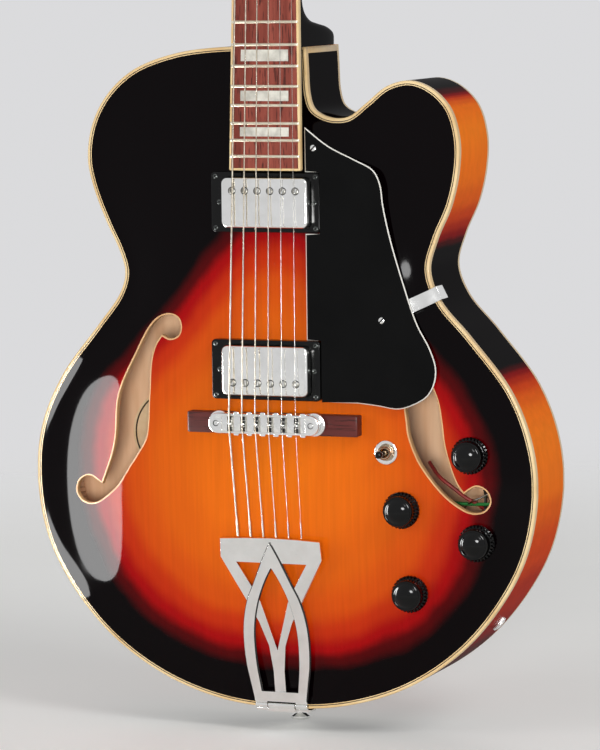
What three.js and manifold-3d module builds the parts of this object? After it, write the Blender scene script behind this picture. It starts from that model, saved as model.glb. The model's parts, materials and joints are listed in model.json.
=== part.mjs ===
// Hollow-body electric guitar with one rounded cutaway: arched plates, f-holes, two humbuckers,
// a floating bridge and a hinged lattice tailpiece.
// Every piece is drawn as on a maker's plan: x across the body, y from the tail edge up the neck and
// z forward from the front edge of the rim. The last group stands the plan upright, strings towards -Y.

import * as THREE from 'three';
import { mergeVertices } from 'three/addons/utils/BufferGeometryUtils.js';
import Module from 'manifold-3d';

const wasm = await Module();
wasm.setup();

// Body
const bodyLength = 497;
const lowerHalf = 199.8;
const rimDepth = 72;
const archRise = 14.5;
const archLand = 6;
const archReach = 66;
const topThickness = 5;
const backThickness = 4.5;
const sideThickness = 3;
const liningWidth = 6;
const liningDepth = 12;
const bindingWidth = 2.2;
const jointBass = -27;
const jointTreble = 23.7;
const outlineStep = 36;
const fineStep = 5;

// Fits
const seat = 0.3;
const overrun = 6;
const facetPlay = 0.6;
const weld = 0.0001;

// Strings and neck
const scaleLength = 628;
const bridgeShare = 0.44165;
const bridgeLine = bodyLength * bridgeShare;
const saddleHeight = 39;
const stringFall = 0.043;
const nutAction = 2.2;
const endAction = 4.6;
const stringClear = 0.5;
const stringSpreadTail = 50.5;
const stringSpreadBridge = 52.8;
const stringSpreadNut = 36;
const stringRadii = [0.64, 0.52, 0.42, 0.3, 0.2, 0.15];
const boardRadius = 305;
const boardThickness = 5.5;
const boardOverBody = 90.3;
const boardEndWidth = 58;
const nutWidth = 43;
const nutLength = 5;
const nutRise = 0.6;
const fretCount = 20;
const fretWidth = 2.3;
const fretHeight = 1.1;
const shaftDepthNut = 15.5;
const shaftDepthHeel = 18.5;
const heelReach = 45;
const heelCapHalf = 18;
const tenonHalf = 15;
const tenonLength = 42;
const tenonDepth = 55;
const rodRadius = 3;
const rodPocket = 22;

// Headstock and tuners
const headLength = 172;
const headHalf = 39;
const headThickness = 15;
const headPitch = THREE.MathUtils.degToRad(16.2);
const postRadius = 3;
const postRise = 13;
const postInset = 14;
const bushingRadius = 5;
const housingWidth = 15;
const housingLength = 24;
const housingDepth = 10;
const buttonStem = 1.8;
const buttonReach = 20;
const buttonHalf = 9;
const buttonThickness = 7;

// Blocks and tone bars
const neckBlockHalf = 36;
const neckBlockLength = 58;
const tailBlockHalf = 42;
const tailBlockLength = 26;
const toneBarWidth = 9;
const toneBarHeight = 14;
const toneBarOffset = 46;
const toneBarGap = 15;

// Sound holes
const holeInnerShare = 0.3719;
const holeSpan = 90.2;
const holeLowShare = 0.3048;
const holeLength = 145.6;

// Pickups
const coverWidth = 68;
const coverLength = 37;
const coverCorner = 4.5;
const coverHeight = 19;
const coverBevel = 1.2;
const ringWidth = 86;
const ringLength = 44.6;
const ringCorner = 3;
const ringOffset = -2;
const poleRadius = 2.4;
const poleRise = 0.8;
const poleSpread = 50;
const neckPickupGap = 5.2;
const neckPickupDrop = 2.97;
const bridgePickupOffset = 39.1;
const bridgePickupDrop = 4.82;
const coverProud = 8.5;
const poleRowOffset = 8.9;

// Bridge
const baseWidth = 137;
const baseLength = 15.6;
const baseTop = 24;
const baseRelief = 62;
const baseReliefRise = 2.5;
const bridgeWidth = 87;
const bridgeLength = 15;
const bridgeUnder = 29.2;
const bridgeHeight = 7;
const troughLength = 63.4;
const troughWidth = 11.2;
const troughFloor = 2.2;
const studSpread = 75;
const studRadius = 2;
const wheelRadius = 9.4;
const wheelThickness = 2.2;
const saddleWidth = 8;
const saddleLength = 4.8;
const saddleShoulder = 2;

// Tailpiece
const hingeLine = 2.8;
const hingeHeight = 3.4;
const hingeRadius = 2.4;
const hingePinRadius = 1.2;
const knuckleHalf = 10.6;
const tailHalf = 40.2;
const tailBarTop = 131;
const tailFoot = 1;
const tailSheet = 2.2;
const tailRibProud = 1.4;
const tailSlotTop = 6.5;
const tailBaseTop = 14.3;
const tailFootInner = 11.4;
const bracketSheet = 1.6;
const bracketHalf = 22;
const bracketEndHalf = 10;
const buttonLength = 12;
const buttonFlange = 7.4;
const buttonWaist = 4.4;
const buttonShank = 2.2;
const buttonShankLength = 18;

// Pickguard
const guardLeft = 31.5;
const guardSpan = 97;
const guardBelow = 27;
const guardAbove = 31.9;
const guardHeight = 23;
const guardTilt = THREE.MathUtils.degToRad(3.6);
const guardThickness = 2.6;
const guardNotch = 3.2;
const guardFootInset = 5.5;
const guardFootDrop = 15.3;
const guardFootRadius = 4;
const guardScrewInset = 56.2;
const guardScrewUp = 38.5;
const stayAngle = THREE.MathUtils.degToRad(27);
const staySheet = 1.2;
const stayWidth = 10.5;
const stayLip = 12;

// Controls
const knobRadius = 13.7;
const knobHeight = 15;
const knobGap = 1;
const knobShares = { neck_volume: [0.7633, 0.3992], neck_tone: [0.7848, 0.2686], bridge_volume: [0.5045, 0.3153],
  bridge_tone: [0.53, 0.1891] };
const shaftRadius = 2.6;
const potBushing = 3.9;
const potRadius = 12;
const potHeight = 10;
const potBushingRise = 2.4;
const wireRadius = 1.3;
const switchShares = [0.4414, 0.4002];
const switchWasher = 7.6;
const switchNut = 5.8;
const switchBushing = 5;
const switchBore = 3.6;
const switchStem = 1.1;
const switchLength = 17;
const switchTip = 2.7;
const switchBodyHalf = 8;
const switchBodyDepth = 18;
const jackShares = [0.7908, 0.1358];
const jackNut = 6.3;
const jackWasher = 8;
const jackSleeve = 4.7;
const jackBore = 3.3;
const jackProud = 4.5;
const jackDepth = 24;

// Finishes
const finish = (color, roughness, metalness) => new THREE.MeshStandardMaterial({ color, roughness, metalness });
const burst = finish('#b8421a', 0.12, 0);
const gloss = finish('#0b0a0a', 0.12, 0);
const cream = finish('#e3c58d', 0.4, 0);
const spruce = finish('#cda57d', 0.7, 0);
const rosewood = finish('#6d3a2c', 0.55, 0);
const bone = finish('#e8e0cc', 0.45, 0);
const chrome = finish('#dcdcda', 0.12, 1);
const steel = finish('#c9c6bd', 0.3, 1);
const black = finish('#101010', 0.25, 0);
const wired = finish('#8f8f8f', 0.5, 0.4);

// Outline of the body, in shares of the lower half width and of the body length
const bassShares = [[0.25, 0.009], [0.49, 0.042], [0.701, 0.098], [0.861, 0.171], [0.961, 0.248], [1, 0.338],
  [0.978, 0.421], [0.888, 0.5], [0.736, 0.578], [0.646, 0.626], [0.622, 0.658], [0.643, 0.691], [0.696, 0.736],
  [0.748, 0.79], [0.768, 0.831], [0.748, 0.883], [0.686, 0.928], [0.576, 0.966], [0.4, 0.991], [0.21, 1]];
const trebleShares = [[0.25, 0.009], [0.49, 0.041], [0.701, 0.098], [0.858, 0.171], [0.958, 0.248], [1, 0.338],
  [0.981, 0.414], [0.906, 0.491], [0.748, 0.572], [0.633, 0.625], [0.593, 0.67], [0.623, 0.716], [0.678, 0.766],
  [0.708, 0.819], [0.71, 0.865], [0.676, 0.91], [0.603, 0.939], [0.521, 0.95], [0.435, 0.942], [0.35, 0.916],
  [0.285, 0.897], [0.23, 0.894], [0.18, 0.899], [0.145, 0.909], [0.128, 0.93], [0.122, 0.97]];

// Sound hole of the bass side: across from its inner lobe, up from its outer lobe
const holeRunShares = [[0.18, 0.895], [0.233, 0.851], [0.275, 0.777], [0.298, 0.576], [0.327, 0.365],
  [0.412, 0.273], [0.503, 0.193], [0.598, 0.107], [0.68, 0.06], [0.794, 0.012], [0.869, 0], [0.955, 0.016],
  [1, 0.062], [0.97, 0.118], [0.875, 0.144], [0.752, 0.104]];
const holeReturnShares = [[0.752, 0.104], [0.654, 0.256], [0.616, 0.356], [0.584, 0.578], [0.418, 0.8],
  [0.292, 0.935], [0.2, 0.985], [0.101, 1], [0.025, 0.982], [0, 0.938], [0.025, 0.895], [0.101, 0.877],
  [0.18, 0.895]];

// Pickguard edge from its top corner round to its lowest point
const guardShares = [[0, 1], [0.185, 0.933], [0.393, 0.884], [0.528, 0.849], [0.582, 0.8], [0.605, 0.723],
  [0.658, 0.607], [0.751, 0.455], [0.859, 0.304], [0.953, 0.22], [0.999, 0.153], [0.991, 0.1], [0.934, 0.049],
  [0.813, 0.014], [0.701, 0], [0.548, 0.01], [0.356, 0.02]];

// Tailpiece: half outlines across from its centre and up from its feet
const stayOuterShares = [[1, 0.893], [0.535, 0.634], [0.323, 0.511], [0.162, 0.374], [0.107, 0.221], [0.107, 0.06]];
const stayInnerShares = [[0.697, 0.866], [0.423, 0.721], [0.274, 0.634], [0.124, 0.481], [0.001, 0.347]];
const ribOuterShares = [[0.002, 0.985], [0.187, 0.87], [0.373, 0.74], [0.51, 0.649], [0.609, 0.527],
  [0.642, 0.412], [0.622, 0.26], [0.547, 0.122], [0.515, 0.06]];
const ribInnerShares = [[0.002, 0.844], [0.149, 0.763], [0.299, 0.653], [0.403, 0.527], [0.44, 0.412],
  [0.428, 0.26], [0.386, 0.145], [0.35, 0.06]];

// Heel: way out from the body, share of the full depth
const heelShares = [[0, 1], [0.18, 0.985], [0.29, 0.84], [0.36, 0.58], [0.42, 0.365], [0.58, 0.135],
  [0.76, 0.02], [1, 0]];

// Headstock half outline: share of the half width, share of the length
const headShares = [[0.56, 0], [0.63, 0.07], [0.82, 0.17], [0.93, 0.27], [1, 0.8], [0.93, 0.92], [0.72, 0.975],
  [0.38, 0.995]];
const tunerShares = [0.28, 0.53, 0.78];

// Tuner button: share of the half width, share of the way out
const buttonShares = [[0.25, 0], [0.75, 0.18], [1, 0.55], [0.9, 0.85], [0.55, 1]];

// Knob profile: share of the radius, share of the height
const knobProfileShares = [[1, 0], [1, 0.34], [0.84, 0.42], [0.77, 0.74], [0.58, 0.9], [0.28, 0.99]];

// Solids

function closedGeometry(points, faces) {
  const a = new THREE.Vector3();
  let volume = 0;
  for (const [i, j, k] of faces) {
    volume += a.crossVectors(points[j], points[k]).dot(points[i]);
  }
  const index = faces.flatMap(([i, j, k]) => (volume < 0 ? [i, k, j] : [i, j, k]));
  const geometry = new THREE.BufferGeometry().setFromPoints(points);
  geometry.setIndex(index);
  geometry.computeVertexNormals();
  return geometry;
}

function loft(rings) {
  const count = rings[0].length;
  const points = rings.flat();
  const faces = [];
  for (let i = 0; i < rings.length - 1; i++) {
    for (let j = 0; j < count; j++) {
      const a = i * count + j;
      const b = i * count + ((j + 1) % count);
      faces.push([a, b, b + count], [a, b + count, a + count]);
    }
  }
  for (const [ring, flip] of [[0, true], [rings.length - 1, false]]) {
    const centre = rings[ring].reduce((sum, p) => sum.add(p), new THREE.Vector3()).divideScalar(count);
    const hub = points.push(centre) - 1;
    for (let j = 0; j < count; j++) {
      const a = ring * count + j;
      const b = ring * count + ((j + 1) % count);
      faces.push(flip ? [hub, b, a] : [hub, a, b]);
    }
  }
  return closedGeometry(points, faces);
}

function loopLoft(rings) {
  const count = rings[0].length;
  const points = rings.flat();
  const faces = [];
  rings.forEach((ring, i) => {
    const next = ((i + 1) % rings.length) * count;
    for (let j = 0; j < count; j++) {
      const k = (j + 1) % count;
      faces.push([i * count + j, i * count + k, next + k], [i * count + j, next + k, next + j]);
    }
  });
  return closedGeometry(points, faces);
}

function solid(geometry) {
  const bare = geometry.clone();
  bare.deleteAttribute('normal');
  bare.deleteAttribute('uv');
  const merged = mergeVertices(bare, weld);
  const vertProperties = new Float32Array(merged.attributes.position.array);
  const triVerts = new Uint32Array(merged.index.array);
  return new wasm.Manifold(new wasm.Mesh({ numProp: 3, vertProperties, triVerts }));
}

function geometryOf(body) {
  const mesh = body.getMesh();
  const geometry = new THREE.BufferGeometry();
  geometry.setAttribute('position', new THREE.BufferAttribute(new Float32Array(mesh.vertProperties), 3));
  geometry.setIndex(new THREE.BufferAttribute(new Uint32Array(mesh.triVerts), 1));
  geometry.computeVertexNormals();
  return geometry;
}

function joined(...geometries) {
  return geometryOf(geometries.map(solid).reduce((sum, next) => sum.add(next)));
}

function cut(geometry, ...tools) {
  return geometryOf(tools.reduce((body, tool) => body.subtract(solid(tool)), solid(geometry)));
}

function trimmed(geometry, ...envelopes) {
  return geometryOf(envelopes.reduce((body, envelope) => body.intersect(solid(envelope)), solid(geometry)));
}

// Flat outline drawn in the plan, between two heights
function plate(points, low, high, holes = []) {
  const shape = new THREE.Shape(points);
  shape.holes = holes.map((hole) => new THREE.Path(hole));
  const geometry = new THREE.ExtrudeGeometry(shape, { depth: high - low, bevelEnabled: false, curveSegments: 6 });
  return geometry.translate(0, 0, low);
}

function box(x0, x1, y0, y1, z0, z1) {
  const geometry = new THREE.BoxGeometry(x1 - x0, y1 - y0, z1 - z0);
  return geometry.translate((x0 + x1) / 2, (y0 + y1) / 2, (z0 + z1) / 2);
}

// Turned piece on the z axis from a profile of radius and height
function turned(profile, sides) {
  const ends = [[0, profile[0][1]], ...profile, [0, profile[profile.length - 1][1]]];
  const points = ends.map(([r, z]) => new THREE.Vector2(r, z));
  return new THREE.LatheGeometry(points, sides).rotateX(Math.PI / 2);
}

function bored(profile, bore, sides) {
  const first = profile[0][1];
  const last = profile[profile.length - 1][1];
  const points = [[bore, first], ...profile, [bore, last], [bore, first]].map(([r, z]) => new THREE.Vector2(r, z));
  return new THREE.LatheGeometry(points, sides).rotateX(Math.PI / 2);
}

function roundedRectangle(width, length, corner, centreX, centreY, steps) {
  const points = [];
  const corners = [[1, 1], [-1, 1], [-1, -1], [1, -1]];
  corners.forEach(([sx, sy], quarter) => {
    for (let i = 0; i <= steps; i++) {
      const angle = (quarter + i / steps) * (Math.PI / 2);
      const x = centreX + sx * (width / 2 - corner) + corner * Math.cos(angle);
      const y = centreY + sy * (length / 2 - corner) + corner * Math.sin(angle);
      points.push(new THREE.Vector2(x, y));
    }
  });
  return points;
}

// Sheet bent along a profile in the plane of s and z, centred on its width
function bentStrip(profile, sheet, width) {
  const half = sheet / 2;
  const normals = profile.map((p, i) => {
    const before = profile[Math.max(i - 1, 0)];
    const after = profile[Math.min(i + 1, profile.length - 1)];
    const into = i > 0 ? p.clone().sub(before).normalize() : after.clone().sub(p).normalize();
    const out = i < profile.length - 1 ? after.clone().sub(p).normalize() : into;
    const n1 = new THREE.Vector2(-into.y, into.x);
    const n2 = new THREE.Vector2(-out.y, out.x);
    return n1.clone().add(n2).divideScalar(1 + n1.dot(n2));
  });
  const upper = profile.map((p, i) => p.clone().addScaledVector(normals[i], half));
  const lower = profile.map((p, i) => p.clone().addScaledVector(normals[i], -half)).reverse();
  const strip = new THREE.ExtrudeGeometry(new THREE.Shape([...upper, ...lower]), { depth: width, bevelEnabled: false });
  return strip.translate(0, 0, -width / 2).rotateX(Math.PI / 2);
}

// Tube through points, with a mitred ring at each
function tube(points, radius, sides) {
  const rings = points.map((p, i) => {
    const into = p.clone().sub(points[Math.max(i - 1, 0)]).normalize();
    const out = points[Math.min(i + 1, points.length - 1)].clone().sub(p).normalize();
    const along = into.clone().add(out).normalize();
    const across = new THREE.Vector3(0, 0, 1).cross(along);
    const side = (across.lengthSq() > weld ? across : new THREE.Vector3(1, 0, 0)).normalize();
    const lift = along.clone().cross(side);
    return Array.from({ length: sides }, (_, j) => {
      const angle = (j / sides) * 2 * Math.PI;
      return p.clone().addScaledVector(side, radius * Math.cos(angle)).addScaledVector(lift, radius * Math.sin(angle));
    });
  });
  return loft(rings);
}

// Body outline

const fromShares = (shares, mirror) => shares.map(([x, y]) => [mirror * x * lowerHalf, y * bodyLength]);
const outlinePoints = [[jointBass, bodyLength], ...fromShares(bassShares, -1).reverse(), [0, 0],
  ...fromShares(trebleShares, 1), [jointTreble, bodyLength]].map(([x, y]) => new THREE.Vector3(x, y, 0));
const outlineCurve = new THREE.CatmullRomCurve3(outlinePoints, false, 'centripetal');

function sampleOutline(step) {
  const spans = outlinePoints.length - 1;
  const points = [];
  for (let span = 0; span < spans; span++) {
    const length = outlinePoints[span].distanceTo(outlinePoints[span + 1]);
    const divisions = Math.max(1, Math.round(length / step));
    for (let i = 0; i < divisions; i++) {
      const p = outlineCurve.getPoint((span + i / divisions) / spans);
      points.push(new THREE.Vector2(p.x, p.y));
    }
  }
  points.push(new THREE.Vector2(jointTreble, bodyLength));
  return points;
}

// Offset to the left of the way the points run, which is into the body
function inset(points, distance, closed = true) {
  const count = points.length;
  return points.map((p, i) => {
    const hasBefore = closed || i > 0;
    const hasAfter = closed || i < count - 1;
    const before = points[(i - 1 + count) % count];
    const after = points[(i + 1) % count];
    const into = hasBefore ? p.clone().sub(before).normalize() : after.clone().sub(p).normalize();
    const out = hasAfter ? after.clone().sub(p).normalize() : into;
    const n1 = new THREE.Vector2(-into.y, into.x);
    const n2 = new THREE.Vector2(-out.y, out.x);
    return p.clone().addScaledVector(n1.clone().add(n2), distance / (1 + n1.dot(n2)));
  });
}

const outline = sampleOutline(outlineStep);
const fineOutline = sampleOutline(fineStep);

// Smooth distance to the edge: the mean over all directions of one over the distance, inverted
function smoothDistance(x, y) {
  let sum = 0;
  for (let i = 0; i < fineOutline.length; i++) {
    const a = fineOutline[i];
    const b = fineOutline[(i + 1) % fineOutline.length];
    const [ax, ay, bx, by] = [a.x - x, a.y - y, b.x - x, b.y - y];
    sum += Math.atan2(ax * by - ay * bx, ax * bx + ay * by) / Math.hypot((ax + bx) / 2, (ay + by) / 2);
  }
  return sum > 0 ? 2 / sum : 0;
}

// Arch of a pressed plate: flat at the rim, a short hollow curve, then a long crown
function arch(x, y) {
  const way = THREE.MathUtils.clamp((smoothDistance(x, y) - archLand) / (archReach - archLand), 0, 1);
  return archRise * (1 - (1 - way ** 1.5) ** 2);
}

function archAround(x, y, radius) {
  const around = Array.from({ length: 12 }, (_, i) => (i / 6) * Math.PI);
  return [arch(x, y), ...around.map((a) => arch(x + radius * Math.cos(a), y + radius * Math.sin(a)))];
}

const archOver = (x, y, radius) => Math.max(...archAround(x, y, radius));
const archUnder = (x, y, radius) => Math.min(...archAround(x, y, radius)) - topThickness - facetPlay;

// Plates: rings of points drawn in from the edge towards the waist
const plateEdge = inset(outline, bindingWidth + seat);
const waistCentre = new THREE.Vector2(0, bodyLength * 0.662);
const plateRingShares = [1, 0.9, 0.77, 0.6, 0.3];
const plateRings = plateRingShares.map((share) => plateEdge.map((p) => p.clone().lerp(waistCentre, 1 - share)));
const plateArch = plateRings.map((ring) => ring.map((p) => arch(p.x, p.y)));
const crownArch = arch(waistCentre.x, waistCentre.y);

// Closed solid between two arched faces; crown is 1 where a face bulges forward, -1 where it bulges back
function archedSolid(upper, upperCrown, lower, lowerCrown) {
  const count = plateEdge.length;
  const points = [];
  const faces = [];
  for (const [height, crown, up] of [[upper, upperCrown, true], [lower, lowerCrown, false]]) {
    const first = points.length;
    plateRings.forEach((ring, r) => ring.forEach((p, i) => {
      points.push(new THREE.Vector3(p.x, p.y, height + crown * plateArch[r][i]));
    }));
    const hub = points.push(new THREE.Vector3(waistCentre.x, waistCentre.y, height + crown * crownArch)) - 1;
    for (let i = 0; i < count; i++) {
      const k = (i + 1) % count;
      for (let r = 0; r < plateRings.length - 1; r++) {
        const a = first + r * count;
        const quads = [[a + i, a + k, a + count + k], [a + i, a + count + k, a + count + i]];
        faces.push(...quads.map((f) => (up ? f : f.reverse())));
      }
      const last = first + (plateRings.length - 1) * count;
      faces.push(up ? [last + i, last + k, hub] : [last + k, last + i, hub]);
    }
  }
  const under = plateRings.length * count + 1;
  for (let i = 0; i < count; i++) {
    const k = (i + 1) % count;
    faces.push([i, under + i, under + k], [i, under + k, k]);
  }
  return closedGeometry(points, faces);
}

// Space under the top that inner pieces are trimmed to, and the solid that feet are fitted to
const innerEdge = inset(outline, sideThickness + seat);
const innerWall = plate(innerEdge, -rimDepth - archRise, archRise);
const hollow = trimmed(
  archedSolid(-topThickness - seat, 1, -rimDepth + backThickness + seat, -1), innerWall);
const topFace = archedSolid(seat, 1, -rimDepth, 0);

// Lines along the body
const boardEnd = bodyLength - boardOverBody;
const neckPickupLine = boardEnd - neckPickupGap - coverLength / 2;
const bridgePickupLine = bridgeLine + bridgePickupOffset;
const onBody = ([x, y]) => [x * lowerHalf, y * bodyLength];
const knobPlaces = Object.fromEntries(Object.entries(knobShares).map(([name, share]) => [name, onBody(share)]));
const [switchX, switchY] = onBody(switchShares);
const [jackX, jackY] = onBody(jackShares);
const guardLow = bridgePickupLine - guardBelow;
const guardHigh = neckPickupLine + ringLength / 2 + guardNotch / 2 + guardAbove;
const guardLength = guardHigh - guardLow;
const guardFootX = guardLeft + guardFootInset;
const guardFootY = guardHigh - guardFootDrop;
const guardScrewX = guardLeft + guardScrewInset;
const guardScrewY = bridgePickupLine + guardScrewUp;

// Strings and fingerboard heights
const nutLine = bridgeLine + scaleLength;
const stringHeight = (y) => saddleHeight - stringFall * (y - bridgeLine);
const boardTop = (y) => stringHeight(y) - THREE.MathUtils.mapLinear(y, nutLine, bridgeLine, nutAction, endAction);
const boardWidth = (y) => THREE.MathUtils.mapLinear(y, boardEnd, nutLine, boardEndWidth, nutWidth);
const neckTop = (y) => boardTop(y) - boardThickness - seat;
const crownDrop = (x) => (x * x) / (2 * boardRadius);
const neckPickupTop = stringHeight(neckPickupLine) - neckPickupDrop;
const bridgePickupTop = stringHeight(bridgePickupLine) - bridgePickupDrop;
const stringShares = [-0.5, -0.3, -0.1, 0.1, 0.3, 0.5];

// Sound holes
function soundHole(mirror) {
  const place = ([u, v]) => new THREE.Vector3(
    mirror * (holeInnerShare * lowerHalf + u * holeSpan), holeLowShare * bodyLength + v * holeLength, 0);
  const run = new THREE.CatmullRomCurve3(holeRunShares.map(place), false, 'centripetal').getPoints(22);
  const back = new THREE.CatmullRomCurve3(holeReturnShares.map(place), false, 'centripetal').getPoints(22);
  return [...run.slice(0, -1), ...back.slice(0, -1)].map((p) => new THREE.Vector2(p.x, p.y));
}

// Body pieces

const slotHalf = tenonHalf + seat;
const neckSlot = box(-slotHalf, slotHalf, bodyLength - tenonLength - seat, bodyLength + overrun,
  -tenonDepth - seat, archRise + overrun);

function pickupRout(line) {
  const half = coverWidth / 2 + 2 * seat;
  const reach = coverLength / 2 + 2 * seat;
  return box(-half, half, line - reach, line + reach, -topThickness - archRise, archRise + overrun);
}

function topPlate() {
  const pots = Object.values(knobPlaces).map(([x, y]) =>
    turned([[potBushing + seat, -rimDepth / 2], [potBushing + seat, archRise + overrun]], 12).translate(x, y, 0));
  const switchHole = turned([[switchBushing + seat, -rimDepth / 2], [switchBushing + seat, archRise + overrun]], 12)
    .translate(switchX, switchY, 0);
  const holes = [-1, 1].map((mirror) => plate(soundHole(mirror), -topThickness, archRise + overrun));
  return cut(archedSolid(0, 1, -topThickness, 1), ...holes, pickupRout(neckPickupLine),
    pickupRout(bridgePickupLine), ...pots, switchHole, neckSlot);
}

function backPlate() {
  return archedSolid(-rimDepth + backThickness, -1, -rimDepth, -1);
}

function binding(high, low) {
  const inner = inset(outline, bindingWidth);
  return loopLoft(outline.map((p, i) => [
    new THREE.Vector3(p.x, p.y, high), new THREE.Vector3(p.x, p.y, low),
    new THREE.Vector3(inner[i].x, inner[i].y, low), new THREE.Vector3(inner[i].x, inner[i].y, high)]));
}

function blockPocket(half, y0, y1) {
  const wall = plate(inset(outline, sideThickness), -rimDepth - overrun, overrun);
  return trimmed(box(-half - seat, half + seat, y0 - seat, y1 + seat, -rimDepth - overrun, overrun), wall);
}

const neckBlockLow = bodyLength - sideThickness - neckBlockLength;
const tailBlockHigh = sideThickness + tailBlockLength;
const shankLine = -rimDepth / 2;
const shankHole = turned([[buttonShank + seat, -tailBlockLength - overrun], [buttonShank + seat, overrun]], 10)
  .rotateX(Math.PI / 2).translate(0, 0, shankLine);

// Jack: on the nearest stretch of the outline, along its outward normal
const jackSeat = (() => {
  const aim = new THREE.Vector3(jackX, jackY, 0);
  const stretches = outline.slice(0, -1).map((a, i) => new THREE.Line3(new THREE.Vector3(a.x, a.y, 0),
    new THREE.Vector3(outline[i + 1].x, outline[i + 1].y, 0)));
  const near = stretches.map((line) => ({ line, point: line.closestPointToPoint(aim, true, new THREE.Vector3()) }))
    .reduce((best, next) => (next.point.distanceTo(aim) < best.point.distanceTo(aim) ? next : best));
  const along = near.line.delta(new THREE.Vector3());
  return { point: near.point, angle: Math.atan2(-along.x, along.y) };
})();
const jackPlace = (geometry) => geometry.rotateY(Math.PI / 2).rotateZ(jackSeat.angle)
  .translate(jackSeat.point.x, jackSeat.point.y, -rimDepth / 2);

const jackHole = jackPlace(turned([[jackSleeve + seat, -jackDepth], [jackSleeve + seat, jackDepth]], 12));

// Band that runs round the body between two insets and two heights
function bodyBand(outer, inner, low, high) {
  return cut(plate(outer ? inset(outline, outer) : outline, low, high), plate(inset(outline, inner), low - overrun,
    high + overrun));
}

// A bent side with its two linings: one half of the rim
function side(sign, ...tools) {
  const high = -topThickness - seat;
  const low = -rimDepth + backThickness + seat;
  const lined = sideThickness + liningWidth;
  const rim = joined(bodyBand(0, sideThickness, low, high), bodyBand(sideThickness / 2, lined, low, low + liningDepth),
    bodyBand(sideThickness / 2, lined, high - liningDepth, high));
  const near = sign < 0 ? box(-seat / 2, 2 * lowerHalf, -overrun, bodyLength + overrun, -rimDepth - overrun, overrun)
    : box(-2 * lowerHalf, seat / 2, -overrun, bodyLength + overrun, -rimDepth - overrun, overrun);
  return cut(rim, near, neckSlot, blockPocket(neckBlockHalf, neckBlockLow, bodyLength),
    blockPocket(tailBlockHalf, 0, tailBlockHigh), shankHole, ...tools);
}

function neckBlock() {
  const raw = box(-neckBlockHalf, neckBlockHalf, neckBlockLow, bodyLength, -rimDepth - archRise, archRise);
  return cut(trimmed(raw, hollow), neckSlot);
}

function tailBlock() {
  const raw = box(-tailBlockHalf, tailBlockHalf, 0, tailBlockHigh, -rimDepth - archRise, archRise);
  return cut(trimmed(raw, hollow), shankHole);
}

function toneBar(mirror) {
  const half = toneBarWidth / 2;
  const low = (y) => arch(toneBarOffset, y) - topThickness - toneBarHeight;
  const [start, end] = [tailBlockHigh + toneBarGap, neckBlockLow - toneBarGap];
  const stations = [0, 0.25, 0.5, 0.75, 1].map((t) => THREE.MathUtils.lerp(start, end, t));
  const rings = stations.map((y, i) => {
    const ended = i === 0 || i === stations.length - 1;
    const under = low(y) + (ended ? toneBarHeight * 0.6 : 0);
    return [[-half, under], [half, under], [half, archRise], [-half, archRise]]
      .map(([x, z]) => new THREE.Vector3(mirror * toneBarOffset + x, y, z));
  });
  return trimmed(loft(rings), hollow);
}

// Neck

function neckRing(y, halfWidth, depth, square, narrowing) {
  const steps = 8;
  return Array.from({ length: steps + 1 }, (_, j) => {
    const angle = (j / steps) * Math.PI;
    const down = Math.sin(angle) ** square;
    const over = Math.sign(Math.cos(angle)) * Math.abs(Math.cos(angle)) ** square;
    const x = halfWidth * over * (1 - narrowing * down ** 1.6);
    return new THREE.Vector3(j === steps ? -halfWidth : x, y, neckTop(y) - (j % steps ? depth * down : 0));
  });
}

const shaftDepth = (y) => THREE.MathUtils.mapLinear(y, nutLine, bodyLength + heelReach, shaftDepthNut, shaftDepthHeel);

function neckShaft() {
  const heel = heelShares.map(([way, share]) => {
    const y = bodyLength + seat + way * heelReach;
    const full = neckTop(y) + rimDepth;
    const depth = THREE.MathUtils.lerp(shaftDepth(y), full, share);
    const half = boardWidth(y) / 2;
    return neckRing(y, half, depth, THREE.MathUtils.lerp(1, 0.5, share), share * (1 - heelCapHalf / half));
  });
  const shaft = [0.35, 0.7, 1].map((t) => {
    const y = THREE.MathUtils.lerp(bodyLength + heelReach, nutLine + nutLength, t);
    return neckRing(y, boardWidth(y) / 2, shaftDepth(y), 1, 0);
  });
  return loft([...heel, ...shaft]);
}

function neckExtension() {
  const rings = [boardEnd + seat, bodyLength + overrun].map((y) => {
    const half = boardWidth(y) / 2;
    return [[-half, 0], [half, 0], [half, neckTop(y)], [-half, neckTop(y)]].map(([x, z]) => new THREE.Vector3(x, y, z));
  });
  return cut(loft(rings), topFace);
}

const headStart = nutLine + nutLength;
const headPlace = (geometry) => geometry.rotateX(-headPitch).translate(0, headStart, neckTop(headStart));
const tuners = ['bass', 'treble'].flatMap((name) => tunerShares.map((share, i) => {
  const mirror = name === 'bass' ? -1 : 1;
  const half = headHalf * THREE.MathUtils.lerp(0.93, 1, (share - 0.27) / 0.53);
  return { label: `${name}_${i + 1}`, mirror, x: mirror * (half - postInset), y: share * headLength, edge: half };
}));

function headstock() {
  const half = headShares.map(([x, y]) => new THREE.Vector2(x * headHalf, y * headLength));
  const shape = [...half, new THREE.Vector2(0, headLength), ...half.map((p) => new THREE.Vector2(-p.x, p.y)).reverse()];
  const board = plate(shape, -headThickness, 0);
  const housings = tuners.map(({ x, y, mirror }) => {
    const low = -headThickness - housingDepth;
    return box(x - housingWidth / 2 + mirror, x + housingWidth / 2 + mirror, y - housingLength / 2,
      y + housingLength / 2, low, -headThickness + seat);
  });
  const bores = tuners.map(({ x, y }) => turned([[postRadius + seat, -headThickness - housingDepth / 2],
    [postRadius + seat, overrun]], 8).translate(x, y, 0));
  const stems = tuners.map(({ x, y, mirror }) => turned([[buttonStem + seat, postRadius + 2 * seat],
    [buttonStem + seat, housingWidth]], 8).rotateY(mirror * Math.PI / 2)
    .translate(x, y - housingLength / 4, -headThickness - housingDepth / 2));
  return headPlace(cut(joined(board, ...housings), ...bores, ...stems));
}

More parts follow.
